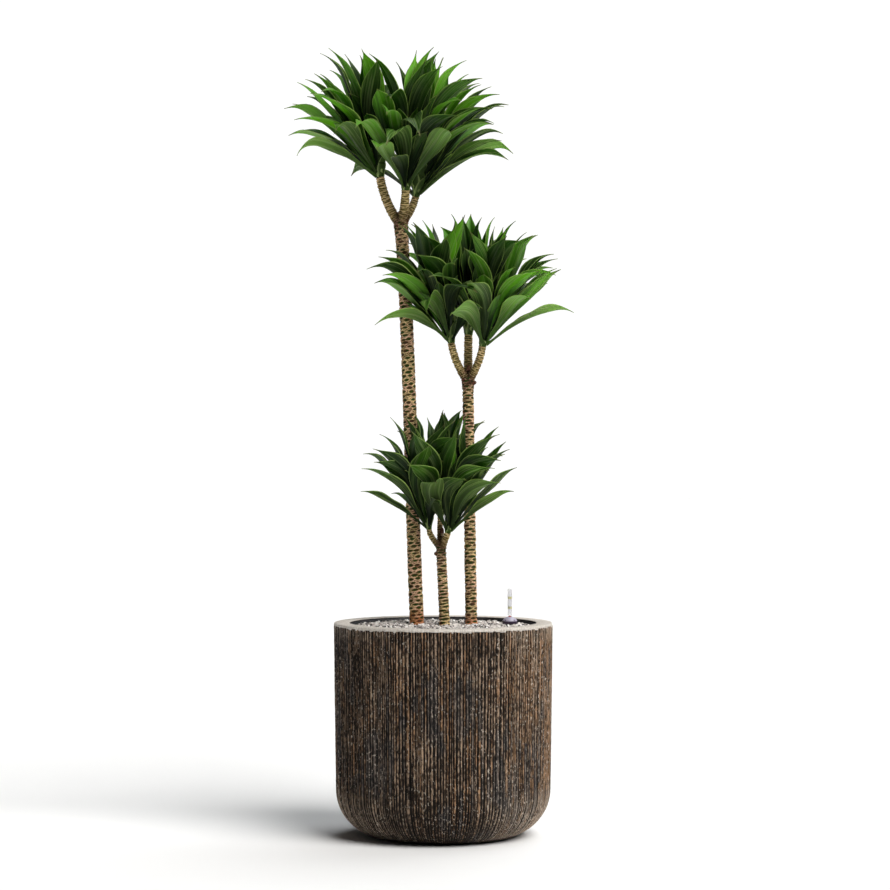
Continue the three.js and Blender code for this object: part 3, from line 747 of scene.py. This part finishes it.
def stub(place, direction, length):
    """A short dry stub of a lost branch: a rough cone that leans away from the cane."""
    axis = unit(np.array(direction))
    u = unit(np.cross(axis, (0.3, 0.5, 0.8)))
    v = np.cross(axis, u)
    angle = bearings(7)
    rings = [(0, 4.4), (0.4, 3.8), (0.8, 3), (1, 1.6)]
    spokes = np.cos(angle)[:, None] * u + np.sin(angle)[:, None] * v
    return np.array([place + axis * length * share + spokes * radius for share, radius in rings])


def joined(parts, mark_names):
    """One mesh of closed parts, each given as its rings of points and the marks on them."""
    points, faces, count = [], [], 0
    marks = {name: [] for name in mark_names}
    for rings, own in parts:
        rows, columns = rings.shape[:2]
        points.append(rings.reshape(-1, 3))
        faces.extend(closed_faces(rows, columns, count))
        count += rows * columns
        for name, values in marks.items():
            values.append(np.broadcast_to(own.get(name, 0), (rows, columns)).ravel())
    return np.concatenate(points), faces, {name: np.concatenate(v) for name, v in marks.items()}


def cane(name, plant, seed):
    rng = np.random.default_rng(seed)
    low, high = plant.radius
    fork = np.array(plant.path[3])

    def trunk_radius(share):
        return low + (high - low) * share + 1.6 * np.clip((share - 0.94) / 0.06, 0, 1)

    rings, lens, ridge = bark_tube(plant.path, trunk_radius, TRUNK_COLUMNS, rng, name)
    buried = rings[:1] * (1, 1, 0) + (0, 0, GRAVEL_TOP - CANE_BURIED)
    rings = np.concatenate([buried, rings])
    lens, ridge = (np.concatenate([mark[:1], mark]) for mark in (lens, ridge))
    parts = [(rings, {"lens": lens, "ridge": ridge})]
    for shoot in plant.shoots.values():
        thick, thin = shoot.branch * 1.12, shoot.branch
        curve = branch_curve(plant, shoot)
        rings, lens, ridge = bark_tube(
            curve, lambda share: mix(thick, thin, share), BRANCH_COLUMNS, rng, "branch"
        )
        parts.append((rings, {"lens": lens, "ridge": ridge, "young": 1.0}))
    for rings, marks in parts:
        distance = norm((rings - fork - (0, 0, 2)) * (1, 1, 0.7), axis=2)
        marks["knot"] = np.minimum(1, 1.5 * np.exp(-((distance / 18) ** 2)))
        marks["foot"] = np.clip(1 - (rings[..., 2] - GRAVEL_TOP) / RED_FOOT[name], 0, 1)
        rings += marks["knot"][..., None] * rng.normal(0, 0.55, rings.shape)
    for direction, height, length in STUBS[name]:
        place = fork + (0, 0, height) + np.array(direction) * (high - 2)
        parts.append((stub(place, direction, length), {"knot": 1.0}))
    return joined(parts, ("lens", "ridge", "young", "knot", "foot"))


def bark_finish():
    made, shader, paint = material("corky_bark", Roughness=0.85, Specular_IOR_Level=0.25)
    lens, ridge, knot = mark(paint, "lens"), mark(paint, "ridge"), mark(paint, "knot")
    young, foot = mark(paint, "young"), mark(paint, "foot")
    mottle = noise(paint, 130)
    grit = noise(paint, 420, 3, 2).between(0.3, 0.7)
    blush = noise(paint, 60, 2)
    furrow = blush.between(0.4, 0.6).blend((0.18, 0.092, 0.028, 1), (0.24, 0.092, 0.042, 1))
    # The corky lids are pale and the furrows brown; the ridge tops are made paler than cork, a painted
    # highlight.
    crest = blush.between(0.38, 0.62).blend((0.94, 0.71, 0.35, 1), (0.97, 0.66, 0.42, 1))
    cork = (ridge * 1.05 + grit * 0.5 - 0.3).between(0.05, 0.8).blend(furrow, crest)
    cork = (mottle.between(0.5, 0.62) * 0.5).blend(cork, (0.14, 0.095, 0.03, 1))
    cork = (young * 0.45).blend(cork, (0.68, 0.54, 0.2, 1))
    cork = (foot * 0.75).blend(cork, (0.58, 0.16, 0.045, 1))
    # Darker dry stubs and knotty wood at the fork, with painted shade in the fork's crevices.
    cork = (knot * (1.15 - grit * 0.7)).blend(cork, (0.085, 0.03, 0.02, 1))
    eye = mottle.between(0.5, 0.6).blend((0.028, 0.06, 0.008, 1), (0.075, 0.038, 0.02, 1))
    eye = (young * 0.65).blend(eye, (0.15, 0.11, 0.03, 1))
    drive(shader, "Base Color", (lens - foot * 0.3).between(0.1, 0.55).blend(cork, eye))
    emboss(shader, grit, 0.0012)
    return made


bark = bark_finish()
for seed, (name, plant) in enumerate(PLANTS.items(), CANE_SEED):
    points, faces, marks = cane(name, plant, seed)
    piece(f"cane_{name}_bark", points, faces, bark, marks, "cane", f"cane_{name}")

# ------------ leafy shoots
# Leaves grow on each green shoot in one spiral and clasp it with their feet. A leaf is a firm,
# glossy blade with a fold along its middle, fine veins along its length and a thin dry tip.

GOLDEN_ANGLE = 137.508
LEAF_WIDEST = 0.45
LEAF_FOOT = 0.22
LEAF_CHORD = 0.94
LEAF_HANDLE = 0.34
RISE_FROM_STEM = 22
LOWEST_SAG = 15
SAGGING = 0.07
TRIES = 40
WIDEST_TURN = 28
WIDEST_LIFT = 12
SHRINKS = (1, 0.86, 0.72, 0.6)
FOUND_WITHIN = 0.02
LEAF_STATIONS = np.concatenate([np.linspace(0, 0.9, 19), [0.93, 0.96, 0.985, 1]])
LEAF_ACROSS = np.array([-1, -0.93, -0.75, -0.56, -0.37, -0.18, 0, 0.18, 0.37, 0.56, 0.75, 0.93, 1])
BLADE_WIDTHS = (
    (0, 0.1, 0.22, 0.36, 0.48, 0.58, 0.66, 0.75, 0.83, 0.9, 0.95, 1),
    (0.3, 0.26, 0.34, 0.6, 0.84, 0.98, 1, 0.84, 0.55, 0.25, 0.09, 0.02),
)
LEAF_THICKNESS = 0.7
NOD_START = 0.45
NODS = (10, 80)
CURL_START = 0.25
CLASPING_FEET = 10
STEM_COLUMNS = 24
INNER_LEAF = {"turn": 0, "lift": 10, "shrink": 0.58}
# The second value of each manner darkens the leaves below 1: painted shade on the inner leaves and the
# short crown.
INNER_MANNER = {"nodding": 0, "freshness": 0.6, "curling": 6, "height": 0.85}
LEAF_MANNER = {
    "tall": {"nodding": 1, "freshness": 1, "curling": 20},
    "middle": {"nodding": 1, "freshness": 0.95, "curling": 24},
    "short": {"nodding": 0.3, "freshness": 0.5, "curling": 48},
}


def shoot_middle(shoot):
    return np.array(shoot.root) + shoot_axis(shoot) * shoot.length / 2


def stem_radius(shoot, share):
    """Radius of a leafy stem with the leaf feet that clasp it, at a share of its length."""
    return shoot.branch + 8 * sin(pi * min(1, share + 0.04)) ** 0.8


def width_share(t):
    """The share of its full width that a leaf has at shares t of its length."""
    rise = mix(LEAF_FOOT, 1, np.sin(np.pi / 2 * np.minimum(t / LEAF_WIDEST, 1)))
    fall = np.cos(np.pi / 2 * np.clip((t - LEAF_WIDEST) / (1 - LEAF_WIDEST), 0, 1)) ** 1.25
    return np.where(t < LEAF_WIDEST, rise, fall)


def leaf_line(plant, number, turn, lift, shrink):
    """A leaf's place, curve, sideways direction, roll and width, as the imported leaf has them."""
    crown, shoots = plant.crown, plant.shoots
    key = number + crown.bearing
    height = (number + 0.5) / crown.number
    bearing = radians(crown.bearing + GOLDEN_ANGLE * number)
    direction = np.array([cos(bearing), sin(bearing), 0])
    middles = {name: shoot_middle(shoot) for name, shoot in shoots.items()}
    reach = [direction @ middles[name] + 42 * draw(key, 20 + k) for k, name in enumerate(shoots)]
    name = list(shoots)[int(np.argmax(reach))]
    shoot = shoots[name]
    flat = np.array([1, 1, 0])
    aim = sum(middles.values()) / 3 * flat + direction * crown.length * 0.7
    x, y, _ = unit(aim - middles[name] * flat)
    c, s = cos(radians(turn)), sin(radians(turn))
    out = np.array([c * x - s * y, s * x + c * y, 0])
    sag = LOWEST_SAG * max(0, 1 - height / SAGGING)
    spread = acos(mix(cos(radians(crown.lowest)), 1, height))
    spread += radians(sag - lift)
    bend = radians(mix(48, 26, height) * mix(0.5, 1.4, draw(key, 5)))
    length = crown.length * mix(0.9, 1.06, draw(key, 6)) * mix(1, 0.8, height**4) * shrink

    def towards(angle):
        return np.array([0, 0, cos(angle)]) + out * sin(angle)

    base = np.array(shoot.root) + shoot_axis(shoot) * shoot.length * mix(0.05, 0.97, height)
    base = base + out * (stem_radius(shoot, height) - 4)
    tip = base + towards(spread) * length * LEAF_CHORD
    rise = towards(spread * 0.5 + radians(RISE_FROM_STEM)) * length * LEAF_HANDLE
    fall = towards(spread + bend) * length * LEAF_HANDLE
    return {
        "shoot": name,
        "key": key,
        "height": height,
        "curve": [base, base + rise, tip - fall, tip],
        "side": np.array([-out[1], out[0], 0]),
        "roll": radians(mix(-40, 48, draw(key, 8))),
        "width": crown.width * mix(0.88, 1.06, draw(key, 7)),
    }


def places_tried():
    """The places that a leaf tries, as turn and lift in degrees and the share of its full length."""
    for shrink in SHRINKS:
        for step in range(TRIES):
            far, around = sqrt(step / TRIES), radians(GOLDEN_ANGLE * step)
            yield WIDEST_TURN * far * cos(around), WIDEST_LIFT * far * sin(around), shrink


def packed_corners(node):
    """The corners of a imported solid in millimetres, to look places up in."""
    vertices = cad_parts[node].data.vertices
    tree = KDTree(len(vertices))
    for i, vertex in enumerate(vertices):
        tree.insert(vertex.co / MM, i)
    tree.balance()
    return tree


def leaf_frames(leaf, t):
    """Points on a leaf's midline, and the directions across the blade and below it."""
    place, heading = bezier(leaf["curve"], t)
    across = leaf["side"] - heading * (heading @ leaf["side"])[:, None]
    across /= norm(across, axis=1, keepdims=True)
    turn = leaf["roll"] * np.sin(np.pi / 2 * np.minimum(1, t / 0.6))[:, None]
    across = across * np.cos(turn) + np.cross(heading, across) * np.sin(turn)
    below = np.cross(across, heading)
    return place, across, below


def settled_leaf(plant, number, corners):
    """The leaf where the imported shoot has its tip, or an edge of it if the tip is hidden."""
    seen = []
    for place in places_tried():
        leaf = leaf_line(plant, number, *place)
        tree = corners[leaf["shoot"]]
        if tree.find(leaf["curve"][3])[2] < FOUND_WITHIN:
            return leaf
        seen.append((leaf, tree))
    station = np.array([0.72])
    for leaf, tree in seen:
        middle, across, _ = leaf_frames(leaf, station)
        half = leaf["width"] / 2 * width_share(station)[0]
        if any(tree.find(middle[0] + across[0] * half * side)[2] < FOUND_WITHIN for side in (-1, 1)):
            return leaf
    return None


def bent(place, heading, toward, start, angle):
    """A midline whose outer part bends toward a side, and the tip the most, and the new side."""
    share = np.clip((LEAF_STATIONS - start) / 0.5, 0, 1)
    bend = angle * share * share * (3 - 2 * share)
    step = np.diff(place, axis=0)
    middle = (bend[1:, None] + bend[:-1, None]) / 2
    forward = (step * heading[1:]).sum(1, keepdims=True)
    aside = (step * toward[1:]).sum(1, keepdims=True)
    turned_step = (forward * np.cos(middle) - aside * np.sin(middle)) * heading[1:]
    turned_step += (forward * np.sin(middle) + aside * np.cos(middle)) * toward[1:]
    place = np.concatenate([place[:1], place[0] + np.cumsum(turned_step, 0)])
    return place, toward * np.cos(bend)[:, None] - heading * np.sin(bend)[:, None]


def leaf_blade(leaf):
    """A leaf's points and marks, one ring for each station: over its top and back under it."""
    t = LEAF_STATIONS
    key, height = leaf["key"], leaf["height"]
    facing, broadside = max(0, leaf["side"][0]), abs(leaf["side"][0])
    place, across, below = leaf_frames(leaf | {"roll": leaf["roll"] * mix(0.5, 1, broadside)}, t)
    nod = leaf["nodding"] * facing**2 * mix(*NODS, draw(key, 35))
    nod *= np.clip((0.8 - height) / 0.4, 0, 1)
    nod = radians(nod + mix(-8, 12, draw(key, 34)))
    place, below = bent(place, np.cross(below, across), below, NOD_START, nod)
    curl = radians(mix(6, leaf["curling"], facing)) * (1 if draw(key, 37) < 0.5 else -1)
    place, across = bent(place, np.cross(below, across), across, CURL_START, curl)
    place = place[0] + (place - place[0]) * mix(1, 1.06, np.clip((height - 0.55) / 0.2, 0, 1))
    breadth = leaf["width"] * mix(0.8, 1.06, draw(key, 36))
    breadth *= mix(1, 0.62, height**2) * mix(0.9, 1.2, broadside)
    half = np.maximum(breadth / 2 * np.interp(t, *BLADE_WIDTHS), 0.35)[:, None]
    a = LEAF_ACROSS[::-1]
    opened = mix(0.8, 0.4, facing) * mix(0.7, 1.1, draw(key, 33))
    fold = mix(1.15, opened, np.sin(np.pi / 2 * np.clip(t / 0.35, 0, 1)))[:, None]
    spread_out = np.cos(fold) / np.cos(fold[-1])
    hang = half * (np.sin(fold) * (1 - np.abs(a)) - 0.1 * np.sin(np.pi * np.abs(a)))
    middle = np.sin(np.pi * t)[:, None]
    phase, other = draw(key, 30) * 6.28, draw(key, 31) * 6.28
    wave = np.where(a > 0, np.sin(15 * t[:, None] + phase), np.sin(13 * t[:, None] + other))
    ripple = 2 * middle * wave * np.abs(a) ** 3
    pleat = 0.45 * middle * np.where(np.arange(len(a)) % 2, 1, -1)
    top = place[:, None] + (a * half * spread_out)[..., None] * across[:, None]
    top = top + (hang + ripple + pleat)[..., None] * below[:, None]
    thick = LEAF_THICKNESS * (1 - a[1:-1] ** 4 * 0.5)
    bottom = top[:, 1:-1] + thick[None, :, None] * below[:, None]
    around = np.concatenate([a, a[1:-1][::-1]])
    under = np.concatenate([[0.5], np.zeros(len(a) - 2), [0.5], np.ones(len(a) - 2)])
    marks = {"under": under, "rim": np.abs(around), "across": around * half / half.max()}
    # The leaf mark is a random tone, darkened where a crown's leaves get painted shade.
    marks |= {"along": t[:, None], "leaf": draw(key, 40) * leaf["freshness"], "age": 1 - height}
    return np.concatenate([top, bottom[:, ::-1]], 1), marks


def round_stem(shoot, bearing, radius, rise):
    """Points round a shoot's axis, at those bearings in radians, radii and rises."""
    axis = shoot_axis(shoot)
    u = unit(np.array([1, 0, 0]) - axis * axis[0])
    v = np.cross(axis, u)
    spoke = np.cos(bearing)[..., None] * u + np.sin(bearing)[..., None] * v
    return np.array(shoot.root) + spoke * radius[..., None] + rise[..., None] * axis


def clasping_foot(shoot, number):
    """A short leaf foot that wraps the stem where the bark ends, and parts from it above."""
    t = np.linspace(0, 1, 10)[:, None]
    a = np.linspace(-1, 1, 9)[None]
    bearing = radians(GOLDEN_ANGLE * number + 40) + a * (1.3 * (1 - t**1.7) + 0.05)
    radius = shoot.branch + 0.2 + 0.3 * number + (9 + 0.6 * number) * t**1.6 + 0 * a
    rise = 0.6 + 2.6 * number + (26 + 3 * number) * t - 4 * (1 - t) * a**2
    rise = np.maximum(rise, SEAT_GAP)
    outer = round_stem(shoot, bearing, radius, rise)
    inner = round_stem(shoot, bearing, radius - LEAF_THICKNESS, rise)
    rim = np.abs(np.concatenate([a, a[:, ::-1]], 1))
    marks = {"under": 1.0, "rim": rim * 0.97, "across": rim, "along": 0.2 + 0.3 * t}
    marks |= {"leaf": draw(number, 41), "age": 0.9, "clasp": 1 - 0.75 * t}
    return np.concatenate([outer, inner[:, ::-1]], 1), marks


def shoot_stem(shoot):
    """The green stem of a shoot, which widens from its branch under the leaf feet."""
    share = np.linspace(0, 1, 40)[:, None]
    bearing = bearings(STEM_COLUMNS)[None]
    full = np.array([stem_radius(shoot, s) - 2 for s in share[:, 0]])[:, None]
    radius = mix(shoot.branch - 0.4, full, np.clip(share / 0.4, 0, 1) ** 1.5)
    radius = radius + 0.5 * np.sin(share * 60 + bearing * 2)
    radius[-3:] *= np.array([[0.8], [0.5], [0.15]])
    rise = SEAT_GAP + shoot.length * share
    rings = round_stem(shoot, bearing + 0 * share, radius, rise + 0 * bearing)
    return rings, {"under": 1.0, "clasp": 1 - share}


def leafy_shoot(shoot, leaves):
    parts = [shoot_stem(shoot)]
    parts += [clasping_foot(shoot, number) for number in range(CLASPING_FEET)]
    parts += [leaf_blade(leaf) for leaf in leaves]
    return joined(parts, ("under", "rim", "across", "along", "leaf", "age", "clasp"))


def leaf_finish():
    made, shader, paint = material("leaf", Specular_IOR_Level=0.06, Coat_Roughness=0.32)
    under, rim, across = mark(paint, "under"), mark(paint, "rim"), mark(paint, "across")
    run, leaf, age, clasp = (mark(paint, name) for name in ("along", "leaf", "age", "clasp"))
    broad = paint.node("CombineXYZ", None, {0: across * 5, 1: run * 0.8, 2: leaf * 50})
    streak = noise(paint, 1, 2, place=broad)
    fine = paint.node("CombineXYZ", None, {0: across * 15, 1: run, 2: leaf * 90})
    vein = noise(paint, 1, 2, place=fine)
    deep, bright = (0.002, 0.013, 0.003, 1), (0.085, 0.4, 0.005, 1)
    upper = (leaf * 1.1 + streak * 0.8 - 0.65 - age * 0.1).between(0.0, 0.95).blend(deep, bright)
    dull, fresh = (0.004, 0.02, 0.001, 1), (0.18, 0.66, 0.004, 1)
    lower = (streak * 0.8 + leaf * 1.1 - 0.65).between(0.05, 0.95).blend(dull, fresh)
    lower = (age.between(0.72, 1.0) * (leaf * 0.6 + 0.06)).blend(lower, (0.33, 0.52, 0.13, 1))
    green = under.between(0.55, 0.95).blend(upper, lower)
    veined = vein.between(0.52, 0.6) * (age * 0.35 + leaf * 0.35 + 0.04)
    green = veined.blend(green, (0.46, 0.66, 0.2, 1))
    green = run.between(0.92, 0.97).blend(green, (0.13, 0.085, 0.04, 1))
    # Painted light: the outer halves of the leaves are made lighter.
    green = (run.between(0.45, 0.9) * (leaf * 0.3)).blend(green, (0.22, 0.48, 0.06, 1))
    # Painted shade: the inner part of each leaf, deep in the crown, is painted near black.
    hidden = (1 - run.between(0.28, 0.9)) * (1 - age * 0.2)
    green = hidden.blend(green, (0.0015, 0.006, 0.001, 1))
    green = (clasp * (streak + 0.4)).between(0.1, 0.9).blend(green, (0.04, 0.075, 0.014, 1))
    green = (clasp * rim.between(0.5, 0.95)).blend(green, (0.36, 0.46, 0.17, 1))
    # Pale leaf margins, which also paint a highlight along the edges.
    margin_and_highlight = rim.between(0.88, 1) * run.between(0.05, 0.5) * 0.8
    green = margin_and_highlight.blend(green, (0.34, 0.52, 0.11, 1))
    drive(shader, "Base Color", green)
    drive(shader, "Roughness", 0.4 + under * 0.14 + vein * 0.14)
    drive(shader, "Coat Weight", (1 - hidden) * 0.42)
    emboss(shader, streak * 0.4 + vein * 0.6, 0.002)
    blade = Wire(paint.tree, shader.outputs[0])
    shining_through = paint.node("BsdfTranslucent", None, {"Color": (0.16, 0.45, 0.005, 1)})
    both = paint.node("MixShader", None, {0: (1 - hidden) * 0.28, 1: blade, 2: shining_through})
    drive(paint.tree.nodes["Material Output"], "Surface", both)
    return made


leaf_paint = leaf_finish()
for name, plant in PLANTS.items():
    corners = {shoot: packed_corners(f"shoot_{name}_{shoot}") for shoot in plant.shoots}
    settled = [settled_leaf(plant, number, corners) for number in range(plant.crown.number)]
    inner = [leaf_line(plant, number + 0.5, **INNER_LEAF) for number in range(0, len(settled), 2)]
    leaves = [leaf | LEAF_MANNER[name] for leaf in settled if leaf]
    leaves += [leaf | INNER_MANNER for leaf in inner]
    for shoot in plant.shoots:
        own = [leaf for leaf in leaves if leaf["shoot"] == shoot]
        points, faces, marks = leafy_shoot(plant.shoots[shoot], own)
        node = f"shoot_{name}_{shoot}"
        piece(f"{node}_leaves", points, faces, leaf_paint, marks, "leaf", node)

# ------------ water gauge
# A moulded lavender collar stands on the gravel over its pipe. Its clear sight tube has two plain
# yellow marks, and the red pointer on the float shows at the tube's foot, as when water is low.

GAUGE_FOOT = 32
GAUGE_PIPE_RADIUS = 9
GAUGE_COLLAR_HEIGHT = 14
GAUGE_TUBE_RADIUS = 4
GAUGE_TUBE_TOP = 439
GAUGE_POINTER_TOP = 391
GAUGE_COLUMNS = 48
GAUGE_RECESSES = [(side * 7.5, -8.6, GRAVEL_TOP + 9.5) for side in (-1, 1)]
GAUGE_MARKS = (405, 423)
GAUGE_FLOAT_HEIGHT = 60


def gauge_piece(name, profile, paint, slot, node):
    points, faces = turned(profile, GAUGE_COLUMNS)
    distance = [norm((points - recess) * (1, 1, 1.3), axis=1) for recess in GAUGE_RECESSES]
    recess = np.exp(-((np.minimum(*distance) / 2.6) ** 2))
    points[:, :2] *= 1 - 0.1 * recess[:, None]
    points = points + (*GAUGE_PLACE, 0)
    return piece(name, points, faces, paint, {"recess": recess, "level": points[:, 2]}, slot, node)


def collar_finish():
    made, shader, paint = material("lavender_plastic", Roughness=0.35)
    plastic = speckled(paint, 500, (0.36, 0.33, 0.43, 1), (0.46, 0.43, 0.53, 1))
    skirt = 1 - mark(paint, "level").between(GRAVEL_TOP + 7.6, GRAVEL_TOP + 8.8)
    shade = mark(paint, "recess").between(0.3, 0.7) * 0.9 + skirt
    drive(shader, "Base Color", shade.between(0.1, 0.9).blend(plastic, (0.035, 0.02, 0.045, 1)))
    return made


def tube_finish():
    made, shader, paint = material("clear_plastic", Roughness=0.12)
    level = mark(paint, "level") + noise(paint, 700) * 0.3
    bands = [
        level.between(mid - 2.4, mid - 2) - level.between(mid + 2, mid + 2.4) for mid in GAUGE_MARKS
    ]
    yellow = bands[0] + bands[1]
    drive(shader, "Base Color", yellow.blend((0.6, 0.6, 0.64, 1), (0.42, 0.4, 0.12, 1)))
    frosted = level.between(GAUGE_POINTER_TOP, GAUGE_POINTER_TOP + 2)
    drive(shader, "Alpha", yellow * 0.25 + frosted * 0.25 + 0.12)
    return made


def pointer_finish():
    made, shader, paint = material("pointer_red", Roughness=0.4)
    drive(shader, "Base Color", speckled(paint, 500, (0.3, 0.01, 0.01, 1), (0.42, 0.02, 0.015, 1)))
    return made


collar_base = GRAVEL_TOP + 3
collar_top = GRAVEL_TOP + 2 + GAUGE_COLLAR_HEIGHT
socket = GAUGE_TUBE_RADIUS + SEAT_GAP
pipe_bore = GAUGE_PIPE_RADIUS - 1.5
DOME = ((1, 0), (1, 1), (0.985, 2.4), (0.94, 4), (0.85, 5.5), (0.72, 7), (0.55, 8.3), (0.4, 9.6))
dome = [(GAUGE_COLLAR_RADIUS * share, GRAVEL_TOP + 6 + rise) for share, rise in DOME]
collar = [(pipe_bore, GAUGE_FOOT), (GAUGE_PIPE_RADIUS, GAUGE_FOOT)]
collar += [(GAUGE_PIPE_RADIUS, collar_base), (GAUGE_COLLAR_RADIUS, collar_base), *dome]
collar += [(socket, collar_top - 0.4), (socket, collar_top - 4), (2.4, collar_top - 4)]
collar += [(2.4, GRAVEL_TOP - 4), (pipe_bore, GRAVEL_TOP - 4), (pipe_bore, GAUGE_FOOT + 0.5)]
gauge_piece("gauge_collar", collar, collar_finish(), "gauge_pipe", "gauge_pipe")

tube_foot = GRAVEL_TOP + GAUGE_COLLAR_HEIGHT - 2 + SEAT_GAP
bore = GAUGE_TUBE_RADIUS - 1.1
tube = [(bore, tube_foot), (GAUGE_TUBE_RADIUS, tube_foot)]
levels = np.linspace(tube_foot + 1, GAUGE_TUBE_TOP - 1.5, 60)
tube += [(GAUGE_TUBE_RADIUS, level) for level in levels]
tube += [(GAUGE_TUBE_RADIUS - 1, GAUGE_TUBE_TOP - 0.2), (GAUGE_TUBE_RADIUS - 2, GAUGE_TUBE_TOP)]
tube += [(0.4, GAUGE_TUBE_TOP)]
gauge_piece("gauge_sight_tube", tube, tube_finish(), "gauge_tube", "gauge_tube")

float_radius = GAUGE_PIPE_RADIUS - 2.2
float_top = GAUGE_FOOT + GAUGE_FLOAT_HEIGHT
float_body = [(0.6, GAUGE_FOOT), (float_radius, GAUGE_FOOT), (float_radius, float_top)]
pointer = [(1.6, float_top + 1), (1.6, tube_foot), (2.6, tube_foot + 0.6)]
pointer += [(2.6, GAUGE_POINTER_TOP - 1), (0.6, GAUGE_POINTER_TOP)]
gauge_piece("gauge_pointer", float_body + pointer, pointer_finish(), "gauge_float", "gauge_float")
